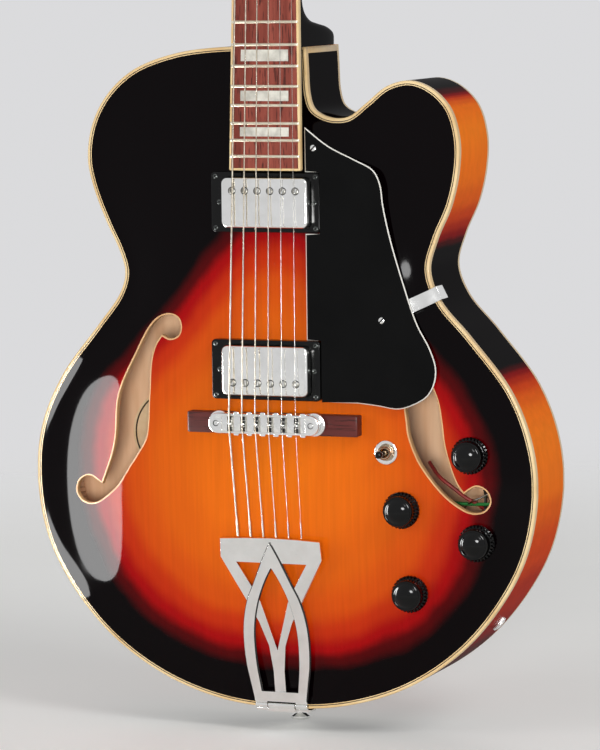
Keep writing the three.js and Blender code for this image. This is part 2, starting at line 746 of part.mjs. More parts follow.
function rodChannel(half, low) {
  const end = headStart + rodPocket;
  const y0 = bodyLength;
  const rings = [y0, headStart].map((y) => [[-half, neckTop(y) - low], [half, neckTop(y) - low],
    [half, neckTop(y) + overrun], [-half, neckTop(y) + overrun]].map(([x, z]) => new THREE.Vector3(x, y, z)));
  const pocket = box(-half, half, headStart - overrun, end, neckTop(end) - low, neckTop(headStart) + overrun);
  return joined(loft(rings), pocket);
}

function neck() {
  const tenon = loft([bodyLength - tenonLength, bodyLength + overrun].map((y) => [[-tenonHalf, -tenonDepth],
    [tenonHalf, -tenonDepth], [tenonHalf, neckTop(y)], [-tenonHalf, neckTop(y)]]
    .map(([x, z]) => new THREE.Vector3(x, y, z))));
  const screwHole = turned([[buttonShank + seat, -rimDepth - overrun], [buttonShank + seat,
    -rimDepth + buttonShankLength + seat]], 10).translate(0, heelButtonLine, 0);
  return cut(joined(neckShaft(), neckExtension(), tenon, headstock()), rodChannel(rodRadius + seat, 2 * rodRadius + 2 * seat),
    screwHole);
}

const heelButtonLine = bodyLength + heelReach * 0.16;

function trussRod() {
  const from = bodyLength + seat;
  const to = headStart + rodPocket - 2 * seat;
  const drop = rodRadius + seat;
  return tube([new THREE.Vector3(0, from, neckTop(from) - drop), new THREE.Vector3(0, to, neckTop(to) - drop)],
    rodRadius, 8);
}

const fretLine = (n) => bridgeLine + scaleLength * 2 ** (-n / 12);

function boardRing(y, half, rise, under) {
  const across = [-1, 0, 1].map((t) => t * half);
  return [...across.map((x) => new THREE.Vector3(x, y, boardTop(y) - crownDrop(x) + rise)),
    new THREE.Vector3(half, y, under), new THREE.Vector3(-half, y, under)];
}

function fingerboard() {
  const body = loft([boardEnd, nutLine - seat].map((y) => boardRing(y, boardWidth(y) / 2, 0, boardTop(y) - boardThickness)));
  const lines = Array.from({ length: fretCount }, (_, i) => fretLine(i + 1)).filter((y) => y > boardEnd + fretWidth);
  const frets = lines.map((y) => {
    const half = boardWidth(y) / 2 - bindingWidth / 2;
    const sunk = boardTop(y) - boardThickness / 2;
    return loft([[-fretWidth / 2, 0], [-fretWidth / 4, fretHeight], [fretWidth / 4, fretHeight], [fretWidth / 2, 0]]
      .map(([dy, rise]) => boardRing(y + dy, half, rise, sunk)));
  });
  return joined(body, ...frets);
}

function nut() {
  const half = nutWidth / 2;
  const clear = stringRadii[0] + stringClear;
  return loft([nutLine, nutLine + nutLength - seat].map((y, i) => {
    const fall = i ? nutRise : 0;
    const across = [-1, -0.5, 0, 0.5, 1].map((t) => t * half);
    return [...across.map((x) => new THREE.Vector3(x, y, stringHeight(nutLine) - crownDrop(x) - clear - fall)),
      new THREE.Vector3(half, y, neckTop(y) + seat), new THREE.Vector3(-half, y, neckTop(y) + seat)];
  }));
}

// Pickups

function pickupRing(line, high) {
  const outer = roundedRectangle(ringWidth, ringLength, ringCorner, ringOffset, line, 1);
  const inner = roundedRectangle(coverWidth + 2 * seat, coverLength + 2 * seat, coverCorner + seat, 0, line, 2);
  return cut(plate(outer, -topThickness, high, [inner]), topFace);
}

function pickup(line, high, rowSide) {
  const sizes = [[0, high - coverHeight], [0, high - coverBevel], [coverBevel, high]];
  const cover = loft(sizes.map(([draw, z]) =>
    roundedRectangle(coverWidth - 2 * draw, coverLength - 2 * draw, coverCorner - draw / 2, 0, line, 2)
      .map((p) => new THREE.Vector3(p.x, p.y, z))));
  const poles = stringShares.map((share) => turned([[poleRadius, high - coverBevel], [poleRadius, high + poleRise / 2],
    [poleRadius * 0.7, high + poleRise]], 6).translate(share * poleSpread, line + rowSide * poleRowOffset, 0));
  return joined(cover, ...poles);
}

// Bridge

const studPlaces = { bass: -studSpread / 2, treble: studSpread / 2 };
const bridgeTop = bridgeUnder + bridgeHeight;

function bridgeBase() {
  const half = baseLength / 2;
  const outer = roundedRectangle(baseWidth, baseLength, ringCorner, 0, bridgeLine - half / 8, 2);
  const blank = plate(outer, 0, baseTop);
  const relief = box(-baseRelief / 2, baseRelief / 2, bridgeLine - baseLength, bridgeLine + baseLength, 0,
    archRise + seat + baseReliefRise);
  const studs = Object.values(studPlaces).map((x) =>
    turned([[studRadius, baseTop - overrun], [studRadius, bridgeTop - seat]], 10).translate(x, bridgeLine, 0));
  return joined(cut(blank, topFace, relief), ...studs);
}

function thumbwheel(x) {
  const high = bridgeUnder - seat;
  const low = high - wheelThickness;
  const chamfer = wheelThickness / 4;
  return bored([[wheelRadius - chamfer, low], [wheelRadius, low + chamfer], [wheelRadius, high - chamfer],
    [wheelRadius - chamfer, high]], studRadius + seat, 14).translate(x, bridgeLine, 0);
}

function bridgeBody() {
  const corner = bridgeLength * 0.45;
  const blank = loft([[0, bridgeUnder], [0, bridgeTop - 1.5 * seat], [seat, bridgeTop]].map(([draw, z]) =>
    roundedRectangle(bridgeWidth - 2 * draw, bridgeLength - 2 * draw, corner, 0, bridgeLine, 3)
      .map((p) => new THREE.Vector3(p.x, p.y, z))));
  const trough = box(-troughLength / 2, troughLength / 2, bridgeLine - troughWidth / 2,
    bridgeLine + troughWidth / 2, bridgeUnder + troughFloor, bridgeTop + overrun);
  const bores = Object.values(studPlaces).map((x) => turned([[studRadius + seat, bridgeUnder - overrun],
    [studRadius + seat, bridgeTop + overrun]], 10).translate(x, bridgeLine, 0));
  return cut(blank, trough, ...bores);
}

function saddle(index) {
  const x = stringShares[index] * stringSpreadBridge;
  const crest = saddleHeight - crownDrop(x) - stringRadii[index] - stringClear;
  const floor = bridgeUnder + troughFloor + seat;
  const half = saddleLength / 2;
  const shape = [[-half, floor], [half, floor], [half, floor + saddleShoulder], [saddleLength / 12, crest],
    [-saddleLength / 12, crest], [-half, floor + saddleShoulder]].map(([y, z]) => new THREE.Vector2(y, z));
  const block = new THREE.ExtrudeGeometry(new THREE.Shape(shape), { depth: saddleWidth, bevelEnabled: false });
  return block.translate(0, 0, -saddleWidth / 2).applyMatrix4(new THREE.Matrix4().makeBasis(
    new THREE.Vector3(0, 1, 0), new THREE.Vector3(0, 0, 1), new THREE.Vector3(1, 0, 0))).translate(x, bridgeLine, 0);
}

// Tailpiece: drawn flat with its hinge on the x axis, then turned up to lie in line with the strings

const tailPitch = Math.atan2(saddleHeight - hingeHeight, bridgeLine - hingeLine);
const tailPlace = (geometry) => geometry.rotateX(tailPitch).translate(0, hingeLine, hingeHeight);
const tailScale = ([x, y]) => [x * tailHalf, tailFoot + y * tailBarTop - hingeLine];

function halfBand(outer, inner, mirror, low, high) {
  const points = [...outer, ...[...inner].reverse()].map(tailScale)
    .map(([x, y]) => new THREE.Vector2(mirror * x, y));
  return plate(points, low, high);
}

function tailpieceFrame() {
  const low = -tailSheet / 2;
  const high = tailSheet / 2;
  const barLow = stayInnerShares[0][1];
  const barSide = stayOuterShares[0][1];
  const inner = stayInnerShares[0][0];
  const barShares = [[-inner, barLow], [inner, barLow], [1, barSide], [0.985, 1], [0.5, 1.008], [0, 1.012],
    [-0.5, 1.008], [-0.985, 1], [-1, barSide]];
  const bar = plate(barShares.map(tailScale).map(([x, y]) => new THREE.Vector2(x, y)), low - high / 2, high);
  const base = box(-ribOuterShares[8][0] * tailHalf, ribOuterShares[8][0] * tailHalf, tailSlotTop - hingeLine,
    tailBaseTop - hingeLine, low, high + tailRibProud);
  const bands = [-1, 1].flatMap((mirror) => [
    halfBand(stayOuterShares, stayInnerShares, mirror, low, high),
    halfBand(ribOuterShares, ribInnerShares, mirror, low, high + tailRibProud)]);
  const stem = box(-stayOuterShares[5][0] * tailHalf, stayOuterShares[5][0] * tailHalf, tailBaseTop - hingeLine - overrun,
    tailFoot + stayInnerShares[4][1] * tailBarTop - hingeLine, low, high);
  const footOuter = ribOuterShares[8][0] * tailHalf;
  const feet = [-1, 1].flatMap((mirror) => {
    const x0 = Math.min(mirror * tailFootInner, mirror * footOuter);
    const leg = box(x0, x0 + footOuter - tailFootInner, 0, tailSlotTop - hingeLine + seat, low, high);
    const knuckle = new THREE.CylinderGeometry(hingeRadius, hingeRadius, footOuter - tailFootInner, 12)
      .rotateZ(Math.PI / 2).translate(mirror * (tailFootInner + footOuter) / 2, 0, 0);
    return [leg, knuckle];
  });
  const pinHole = new THREE.CylinderGeometry(hingePinRadius + seat, hingePinRadius + seat, 2 * tailHalf, 10)
    .rotateZ(Math.PI / 2);
  return tailPlace(cut(joined(bar, base, stem, ...bands, ...feet), pinHole));
}

function tailpieceBracket() {
  const face = -seat;
  const shape = [[-bracketHalf, 0], [bracketHalf, 0], [bracketHalf, -0.22], [bracketEndHalf, -0.8],
    [bracketEndHalf * 0.7, -1], [-bracketEndHalf * 0.7, -1], [-bracketEndHalf, -0.8], [-bracketHalf, -0.22]]
    .map(([x, share]) => new THREE.Vector2(x, share * (rimDepth / 2 + buttonFlange * 1.5)));
  const leaf = plate(shape, 0, bracketSheet).rotateX(Math.PI / 2).translate(0, face, 0);
  const tab = box(-knuckleHalf, knuckleHalf, face - bracketSheet, hingeLine, 2 * seat, hingeHeight + hingeRadius * 0.6);
  const riser = box(-knuckleHalf, knuckleHalf, face - bracketSheet, face, -seat, hingeHeight);
  const barrel = new THREE.CylinderGeometry(hingeRadius, hingeRadius, 2 * knuckleHalf, 12).rotateZ(Math.PI / 2)
    .translate(0, hingeLine, hingeHeight);
  const pin = new THREE.CylinderGeometry(hingePinRadius, hingePinRadius, 2 * ribOuterShares[8][0] * tailHalf, 10)
    .rotateZ(Math.PI / 2).translate(0, hingeLine, hingeHeight);
  return cut(joined(leaf, tab, riser, barrel, pin), shankHole);
}

// Strap button: flange outermost, shank into the block behind it; drawn pointing up from its seat
function strapButton() {
  return turned([[buttonShank, -buttonShankLength], [buttonShank, 0], [buttonFlange * 0.9, 0],
    [buttonWaist, buttonLength * 0.35], [buttonWaist, buttonLength * 0.65], [buttonFlange, buttonLength * 0.85],
    [buttonFlange, buttonLength * 0.95], [buttonFlange * 0.9, buttonLength]], 12);
}

const endButtonSeat = -2 * seat - bracketSheet;
const endButton = () => strapButton().rotateX(Math.PI / 2).translate(0, endButtonSeat, shankLine);
const heelButton = () => strapButton().rotateX(Math.PI).translate(0, heelButtonLine, -rimDepth - seat);

// Pickguard and its stay

const guardAt = (x) => guardHeight - Math.tan(guardTilt) * (x - guardLeft);
const ringEdge = ringOffset + ringWidth / 2 + guardNotch / 2;

function pickguard() {
  const edge = guardShares.map(([u, v]) => new THREE.Vector3(guardLeft + u * guardSpan, guardLow + v * guardLength, 0));
  const round = new THREE.CatmullRomCurve3(edge, false, 'centripetal').getPoints(28);
  const half = ringLength / 2 + guardNotch / 2;
  const low = guardLow + 0.02 * guardLength;
  const notches = [[ringEdge, low], [ringEdge, bridgePickupLine + half], [guardLeft, bridgePickupLine + half],
    [guardLeft, neckPickupLine - half], [ringEdge, neckPickupLine - half], [ringEdge, neckPickupLine + half],
    [guardLeft, neckPickupLine + half]].map(([x, y]) => new THREE.Vector2(x, y));
  const shape = [...round.map((p) => new THREE.Vector2(p.x, p.y)), ...notches];
  const sheet = plate(shape.map((p) => new THREE.Vector2(p.x - guardLeft, p.y)), 0, guardThickness)
    .rotateY(guardTilt).translate(guardLeft, 0, guardHeight - guardThickness);
  const foot = turned([[guardFootRadius, arch(guardFootX, guardFootY) + seat],
    [guardFootRadius, guardAt(guardFootX) - guardThickness / 2]], 10).translate(guardFootX, guardFootY, 0);
  return joined(sheet, cut(foot, topFace));
}

// Way from the stay's screw to the rim, the longest over the width of the stay
const stayRun = Math.max(...[-0.5, 0, 0.5].map((share) => {
  const dir = new THREE.Vector2(Math.cos(stayAngle), Math.sin(stayAngle));
  const start = new THREE.Vector2(guardScrewX - dir.y * share * stayWidth, guardScrewY + dir.x * share * stayWidth);
  const ways = outline.map((a, i) => {
    const edge = outline[(i + 1) % outline.length].clone().sub(a);
    const from = a.clone().sub(start);
    const turn = dir.cross(edge);
    const along = from.cross(dir) / turn;
    return along >= 0 && along <= 1 ? from.cross(edge) / turn : 0;
  });
  return Math.max(...ways);
}));

function pickguardStay() {
  const under = guardAt(guardScrewX) - guardThickness / Math.cos(guardTilt) - seat - staySheet / 2;
  const slope = Math.tan(guardTilt) / Math.cos(stayAngle);
  const rim = stayRun + seat + staySheet / 2 + seat;
  const profile = [[-stayWidth / 2, under + slope * stayWidth / 2 - seat],
    [stayRun * 0.55, under - slope * stayRun * 0.55 - 2 * seat], [rim - stayWidth * 0.6, staySheet / 2 + 6 * seat],
    [rim, staySheet / 2 + 3 * seat], [rim, -stayLip]].map(([s, z]) => new THREE.Vector2(s, z));
  return bentStrip(profile, staySheet, stayWidth).rotateZ(stayAngle).translate(guardScrewX, guardScrewY, 0);
}

// Controls

const knobSeat = ([x, y]) => archOver(x, y, knobRadius) + knobGap;
const potTop = ([x, y]) => archUnder(x, y, potRadius);

function knob(place) {
  const z = knobSeat(place);
  const profile = knobProfileShares.map(([r, h]) => [r * knobRadius, z + h * knobHeight]);
  const shaft = [[shaftRadius, potTop(place) + 2 * seat], [shaftRadius, z]];
  return turned([...shaft, ...profile, [0, z + knobHeight]].slice(0, -1), 12).translate(place[0], place[1], 0);
}

function pot(place) {
  const high = potTop(place);
  const rise = arch(...place) + potBushingRise - 2 * seat;
  const can = turned([[potRadius, high - potHeight], [potRadius, high]], 8);
  const bushing = bored([[potBushing, high - seat], [potBushing, Math.min(rise, knobSeat(place) - seat)]],
    shaftRadius + seat, 8);
  const well = turned([[shaftRadius + seat, high - seat], [shaftRadius + seat, high + overrun]], 8);
  return joined(cut(can, well), bushing).translate(place[0], place[1], 0);
}

function controlHarness() {
  const places = [knobPlaces.neck_volume, knobPlaces.neck_tone, knobPlaces.bridge_tone, knobPlaces.bridge_volume];
  const cans = places.map(pot);
  const anchor = (place, drop) => new THREE.Vector3(place[0], place[1], potTop(place) - potHeight + 2 * wireRadius - drop);
  const leads = places.slice(0, -1).map((place, i) => {
    const next = places[i + 1];
    const middle = anchor(place, 0).lerp(anchor(next, 0), 0.5);
    middle.z -= potHeight;
    return tube([anchor(place, 0), middle, anchor(next, 0)], wireRadius, 5);
  });
  return joined(...cans, ...leads);
}

const switchSeat = archOver(switchX, switchY, switchWasher) + seat;

function switchBody() {
  const low = archUnder(switchX, switchY, switchBodyHalf);
  const collar = bored([[switchBushing, low - overrun], [switchBushing, switchSeat], [switchWasher, switchSeat],
    [switchWasher, switchSeat + 2 * seat], [switchNut, switchSeat + 2 * seat],
    [switchNut, switchSeat + 2 * seat + switchStem * 2], [switchBushing * 0.9, switchSeat + switchStem * 4]],
  switchBore, 12);
  const frame = box(-switchBodyHalf / 2, switchBodyHalf / 2, -switchBodyHalf, switchBodyHalf, low - switchBodyDepth, low);
  const well = turned([[switchBore, low - switchBodyDepth / 2], [switchBore, low + overrun]], 12);
  return joined(cut(frame, well), collar).translate(switchX, switchY, 0);
}

function switchLever() {
  const tip = switchLength * 0.45;
  const ball = switchBore - seat;
  const stem = turned([[switchStem, -switchLength * 0.3], [switchStem, -ball * 0.9], [ball * 0.8, -ball * 0.6],
    [ball, 0], [ball * 0.8, ball * 0.6], [switchStem, ball * 0.9], [switchStem, tip], [switchTip * 0.8, tip],
    [switchTip, switchLength * 0.85], [switchTip * 0.7, switchLength]], 10);
  return stem.translate(switchX, switchY, switchSeat + switchStem);
}

function outputJack() {
  const washer = 2 * seat;
  const wall = -sideThickness - 2 * seat;
  return jackPlace(bored([[jackSleeve * 1.5, wall - jackDepth], [jackSleeve * 1.5, wall], [jackSleeve, wall],
    [jackSleeve, seat], [jackWasher, seat], [jackWasher, seat + washer], [jackNut, seat + washer],
    [jackNut, jackProud - washer], [jackSleeve, jackProud - washer], [jackSleeve, jackProud]], jackBore, 16));
}

// Tuners

function tunerPost({ x, y }) {
  const low = -headThickness - housingDepth / 2 + seat;
  return headPlace(turned([[postRadius, low], [postRadius, postRise * 0.4], [postRadius * 0.75, postRise * 0.5],
    [postRadius * 0.75, postRise * 0.7], [postRadius, postRise * 0.85], [postRadius * 0.8, postRise]], 8)
    .translate(x, y, 0));
}

function tunerButton({ x, y, mirror, edge }) {
  const start = postRadius + 3 * seat;
  const grip = edge - Math.abs(x) + buttonReach * 0.35;
  const end = edge - Math.abs(x) + buttonReach;
  const stem = turned([[buttonStem, start], [buttonStem, (grip + end) / 2]], 8).rotateY(Math.PI / 2);
  const half = buttonShares.map(([w, h]) => new THREE.Vector2(THREE.MathUtils.lerp(grip, end, h), w * buttonHalf));
  const paddle = plate([...half.map((p) => new THREE.Vector2(p.x, -p.y)), ...half.reverse()],
    -buttonThickness / 2, buttonThickness / 2);
  return headPlace(joined(stem, paddle).rotateZ(mirror < 0 ? Math.PI : 0)
    .translate(x, y - housingLength / 4, -headThickness - housingDepth / 2));
}

// Strings

function headPoint(x, y, z) {
  return new THREE.Vector3(x, y, z).applyAxisAngle(new THREE.Vector3(1, 0, 0), -headPitch)
    .add(new THREE.Vector3(0, headStart, neckTop(headStart)));
}

function string(index) {
  const radius = stringRadii[index];
  const share = stringShares[index];
  const tailReach = (tailFoot + tailBarTop * 1.012 - hingeLine + 2 * seat) * Math.cos(tailPitch);
  const tail = new THREE.Vector3(share * stringSpreadTail, hingeLine + tailReach,
    hingeHeight + tailReach * Math.tan(tailPitch));
  const crest = (x, line) => stringHeight(line) - crownDrop(x);
  const over = share * stringSpreadBridge;
  const atNut = share * stringSpreadNut;
  const order = index < 3 ? tuners[index] : tuners[3 + (5 - index)];
  const inward = order.x - order.mirror * (postRadius * 0.8 + radius + seat);
  const post = headPoint(inward, order.y, postRise * 0.57);
  const lift = new THREE.Vector3(atNut, nutLine + nutLength / 2, crest(atNut, nutLine) - radius / 4);
  return tube([tail, new THREE.Vector3(over, bridgeLine, crest(over, bridgeLine)),
    new THREE.Vector3(atNut, nutLine, crest(atNut, nutLine)), lift, post], radius, 6);
}

// Assembly

const guitar = new THREE.Group();

function add(name, geometry, material) {
  const mesh = new THREE.Mesh(geometry, material);
  mesh.name = name;
  guitar.add(mesh);
}

add('top_plate', topPlate(), burst);
add('back_plate', backPlate(), burst);
add('bass_side', side(-1), burst);
add('treble_side', side(1, jackHole), burst);
add('top_binding', cut(binding(0, -topThickness), neckSlot), cream);
add('back_binding', binding(-rimDepth + backThickness, -rimDepth), cream);
add('neck_block', neckBlock(), spruce);
add('tail_block', tailBlock(), spruce);
add('bass_tone_bar', toneBar(-1), spruce);
add('treble_tone_bar', toneBar(1), spruce);
add('neck', neck(), gloss);
add('truss_rod', trussRod(), steel);
add('fingerboard', fingerboard(), rosewood);
add('nut', nut(), bone);
add('neck_pickup_ring', pickupRing(neckPickupLine, neckPickupTop - coverProud), black);
add('bridge_pickup_ring', pickupRing(bridgePickupLine, bridgePickupTop - coverProud), black);
add('neck_pickup', pickup(neckPickupLine, neckPickupTop, 1), chrome);
add('bridge_pickup', pickup(bridgePickupLine, bridgePickupTop, -1), chrome);
add('bridge_base', bridgeBase(), rosewood);
for (const [name, x] of Object.entries(studPlaces)) add(`${name}_thumbwheel`, thumbwheel(x), chrome);
add('bridge_body', bridgeBody(), chrome);
stringShares.forEach((_, i) => add(`saddle_${i + 1}`, saddle(i), chrome));
add('tailpiece_frame', tailpieceFrame(), chrome);
add('tailpiece_bracket', tailpieceBracket(), chrome);
add('end_button', endButton(), chrome);
add('heel_button', heelButton(), chrome);
add('pickguard', pickguard(), black);
add('pickguard_stay', pickguardStay(), chrome);
for (const [name, place] of Object.entries(knobPlaces)) add(`${name}_knob`, knob(place), black);
add('control_harness', controlHarness(), wired);
add('switch_body', switchBody(), chrome);
add('switch_lever', switchLever(), black);
add('output_jack', outputJack(), chrome);
tuners.forEach((tuner) => add(`tuner_post_${tuner.label}`, tunerPost(tuner), chrome));
tuners.forEach((tuner) => add(`tuner_button_${tuner.label}`, tunerButton(tuner), chrome));
stringShares.forEach((_, i) => add(`string_${i + 1}`, string(i), steel));

// Stand the plan upright with the origin on the outer face of the end button
guitar.rotation.x = Math.PI / 2;
guitar.position.set(0, -rimDepth / 2, buttonLength - endButtonSeat);

export default guitar;
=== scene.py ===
"""Looks of an arched hollow-body electric guitar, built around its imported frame.

Shapes are worked out on the maker's plan, in millimetres: x across the body, y from the tail edge up the neck and
z forward from the front edge of the rim. stand() turns plan points into the frame's metres.
"""

import json
import logging
import math
from collections.abc import Callable
from dataclasses import dataclass, field, replace
from enum import Enum
from functools import cache

import bmesh
import bpy
import numpy as np

from mathutils import Matrix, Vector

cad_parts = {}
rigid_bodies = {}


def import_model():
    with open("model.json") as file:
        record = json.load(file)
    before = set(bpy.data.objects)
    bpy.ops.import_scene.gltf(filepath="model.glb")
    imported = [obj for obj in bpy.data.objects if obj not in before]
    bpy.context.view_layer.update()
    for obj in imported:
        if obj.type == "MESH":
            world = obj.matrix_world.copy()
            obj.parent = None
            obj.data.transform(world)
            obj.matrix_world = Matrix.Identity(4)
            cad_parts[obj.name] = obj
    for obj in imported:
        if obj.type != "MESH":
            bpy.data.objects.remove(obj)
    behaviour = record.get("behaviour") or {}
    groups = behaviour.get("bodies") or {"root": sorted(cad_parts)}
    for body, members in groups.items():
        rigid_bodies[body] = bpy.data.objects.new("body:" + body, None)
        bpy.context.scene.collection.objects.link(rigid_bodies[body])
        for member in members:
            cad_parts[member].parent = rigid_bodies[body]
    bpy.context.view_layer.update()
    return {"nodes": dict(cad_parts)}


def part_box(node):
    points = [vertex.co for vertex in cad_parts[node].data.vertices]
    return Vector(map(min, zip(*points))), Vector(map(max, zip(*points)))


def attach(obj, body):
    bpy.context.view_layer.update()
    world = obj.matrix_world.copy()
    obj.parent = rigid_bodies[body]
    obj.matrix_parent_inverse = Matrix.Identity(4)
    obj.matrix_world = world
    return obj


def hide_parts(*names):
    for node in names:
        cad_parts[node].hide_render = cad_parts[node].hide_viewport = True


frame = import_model()
LOG = logging.getLogger("guitar")

Array = np.ndarray

# Plan sizes in millimetres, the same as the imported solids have
BODY_LENGTH = 497.0
LOWER_HALF = 199.8
RIM_DEPTH = 72.0
ARCH_RISE = 14.5
ARCH_LAND = 6.0
ARCH_REACH = 66.0
TOP_THICKNESS = 5.0
BACK_THICKNESS = 4.5
SIDE_THICKNESS = 3.0
END_HEIGHT = 14.2
JOINT_BASS = -27.0
JOINT_TREBLE = 23.7
SEAT = 0.3

SCALE_LENGTH = 628.0
BRIDGE_LINE = 219.5
NUT_LINE = BRIDGE_LINE + SCALE_LENGTH
NUT_LENGTH = 5.0
SADDLE_HEIGHT = 39.0
STRING_FALL = 0.043
NUT_ACTION = 2.2
END_ACTION = 4.6
BOARD_THICKNESS = 5.5
BOARD_RADIUS = 305.0
BOARD_END = 406.7
BOARD_END_WIDTH = 56.6
NUT_WIDTH = 43.0
STRING_SHARES = np.array([-0.5, -0.3, -0.1, 0.1, 0.3, 0.5])
STRING_RADII = np.array([0.64, 0.52, 0.42, 0.3, 0.2, 0.15])
SPREAD_TAIL = 50.5
SPREAD_BRIDGE = 52.8
SPREAD_NUT = 36.0

# Outline of the body, in shares of the lower half width and of the body length
BASS_SHARES = [[0.25, 0.009], [0.49, 0.042], [0.701, 0.098], [0.861, 0.171], [0.961, 0.248], [1, 0.338],
               [0.978, 0.421], [0.888, 0.5], [0.736, 0.578], [0.646, 0.626], [0.622, 0.658], [0.643, 0.691],
               [0.696, 0.736], [0.748, 0.79], [0.768, 0.831], [0.748, 0.883], [0.686, 0.928], [0.576, 0.966],
               [0.4, 0.991], [0.21, 1]]
TREBLE_SHARES = [[0.25, 0.009], [0.49, 0.041], [0.701, 0.098], [0.858, 0.171], [0.958, 0.248], [1, 0.338],
                 [0.981, 0.414], [0.906, 0.491], [0.748, 0.572], [0.633, 0.625], [0.593, 0.67], [0.623, 0.716],
                 [0.678, 0.766], [0.708, 0.819], [0.71, 0.865], [0.676, 0.91], [0.603, 0.939], [0.521, 0.95],
                 [0.435, 0.942], [0.35, 0.916], [0.285, 0.897], [0.23, 0.894], [0.18, 0.899], [0.145, 0.909],
                 [0.128, 0.93], [0.122, 0.97]]


# Plan geometry


def stand(plan: Array) -> Array:
    """Turns plan points into the frame: z forward becomes -Y, y up the neck becomes Z, millimetres become metres.

    Args:
        plan: Points (..., 3) in millimetres.

    Returns:
        The points in metres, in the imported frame.
    """
    plan = np.asarray(plan, float)
    x, y, z = plan[..., 0], plan[..., 1], plan[..., 2]
    return np.stack([x, -RIM_DEPTH / 2 - z, y + END_HEIGHT], -1) / 1000


def plan_middle(node: str) -> tuple[float, float]:
    """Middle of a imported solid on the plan, in millimetres."""
    low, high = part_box(node)
    return (low[0] + high[0]) * 500, (low[2] + high[2]) * 500 - END_HEIGHT


def through(points: Array, per_span: int, closed: bool = False) -> Array:
    """Centripetal Catmull-Rom curve: cubics whose knots lie apart by the square root of the chord.

    Args:
        points: Points (n, d) that the curve passes through.
        per_span: Samples for each stretch between two of them.
        closed: Whether the curve returns to its first point.

    Returns:
        The sampled points; an open curve ends on its last point.
    """
    p = np.asarray(points, float)
    ends = (p[-1:], p[:2]) if closed else (2 * p[:1] - p[1:2], 2 * p[-1:] - p[-2:-1])
    e = np.concatenate([ends[0], p, ends[1]])
    spans = len(e) - 3
    a, b, c, d = (e[i:i + spans] for i in range(4))
    t0, t1, t2 = (np.sqrt(np.maximum(np.linalg.norm(v - u, axis=1), 1e-9))[:, None]
                  for u, v in ((a, b), (b, c), (c, d)))
    m1 = ((b - a) / t0 - (c - a) / (t0 + t1) + (c - b) / t1) * t1
    m2 = ((c - b) / t1 - (d - b) / (t1 + t2) + (d - c) / t2) * t1
    s = (np.arange(per_span) / per_span)[None, :, None]
    b, c, m1, m2 = (v[:, None] for v in (b, c, m1, m2))
    curve = b + m1 * s + (3 * (c - b) - 2 * m1 - m2) * s ** 2 + (2 * (b - c) + m1 + m2) * s ** 3
    curve = curve.reshape(-1, p.shape[1])
    return curve if closed else np.concatenate([curve, p[-1:]])


def evenly(points: Array, count: int) -> Array:
    """Open line resampled at equal lengths.

    Args:
        points: Points (n, d) along the line.
        count: Number of points wanted.

    Returns:
        The new points (count, d), the two ends kept.
    """
    run = np.concatenate([[0], np.cumsum(np.linalg.norm(np.diff(points, axis=0), axis=1))])
    at = np.linspace(0, run[-1], count)
    return np.stack([np.interp(at, run, points[:, k]) for k in range(points.shape[1])], 1)


def drawn_in(points: Array, distance: Array | float, closed: bool = True) -> Array:
    """Line moved to its left by a distance, mitred at the corners: p + d (n1 + n2) / (1 + n1.n2).

    Args:
        points: Points (n, 2); a closed line that runs anticlockwise moves inwards.
        distance: One distance, or one for each point.
        closed: Whether the last point is joined to the first.

    Returns:
        The moved points.
    """
    ahead = np.roll(points, -1, 0) - points
    if not closed:
        ahead[-1] = ahead[-2]
    ahead /= np.maximum(np.linalg.norm(ahead, axis=1, keepdims=True), 1e-9)
    behind = np.roll(ahead, 1, 0)
    if not closed:
        behind[0] = ahead[0]
    n1 = np.stack([-behind[:, 1], behind[:, 0]], 1)
    n2 = np.stack([-ahead[:, 1], ahead[:, 0]], 1)
    reach = np.maximum(1 + (n1 * n2).sum(1, keepdims=True), 0.5)
    return points + np.reshape(distance, (-1, 1)) * (n1 + n2) / reach


def outline_halves() -> tuple[Array, Array]:
    """The two halves of the body's edge, each split at the tail: bass side down to it, treble side up from it."""
    scale = np.array([LOWER_HALF, BODY_LENGTH])
    bass = np.array(BASS_SHARES[::-1]) * scale * [-1, 1]
    treble = np.array(TREBLE_SHARES) * scale
    knots = np.concatenate([[[JOINT_BASS, BODY_LENGTH]], bass, [[0, 0]], treble, [[JOINT_TREBLE, BODY_LENGTH]]])
    fine = through(knots, 24)
    middle = (len(bass) + 1) * 24
    fine[:, 0] = np.clip(fine[:, 0], -LOWER_HALF, LOWER_HALF)
    return evenly(fine[:middle + 1], 321), evenly(fine[middle:], 341)


BASS_HALF, TREBLE_HALF = outline_halves()
JOINT = np.linspace([JOINT_TREBLE, BODY_LENGTH], [JOINT_BASS, BODY_LENGTH], 20)
OUTLINE = np.concatenate([BASS_HALF, TREBLE_HALF[1:], JOINT[1:-1]])


def edge_distance(plan: Array) -> Array:
    """Smooth distance to the edge: the mean over all directions of one over the distance, inverted.

    Args:
        plan: Points (n, 2) on the plan.

    Returns:
        The distance of each point in millimetres, and 0 on or outside the edge.
    """
    edge = OUTLINE[::2]
    following = np.roll(edge, -1, 0)
    found = []
    for part in np.array_split(plan, max(1, len(plan) // 4000)):
        a = edge[None] - part[:, None]
        b = following[None] - part[:, None]
        turn = np.arctan2(a[..., 0] * b[..., 1] - a[..., 1] * b[..., 0], (a * b).sum(-1))
        away = np.maximum(np.linalg.norm((a + b) / 2, axis=-1), 1e-6)
        total = (turn / away).sum(1)
        found.append(np.where(total > 1e-6, 2 / np.maximum(total, 1e-6), 0))
    return np.concatenate(found)


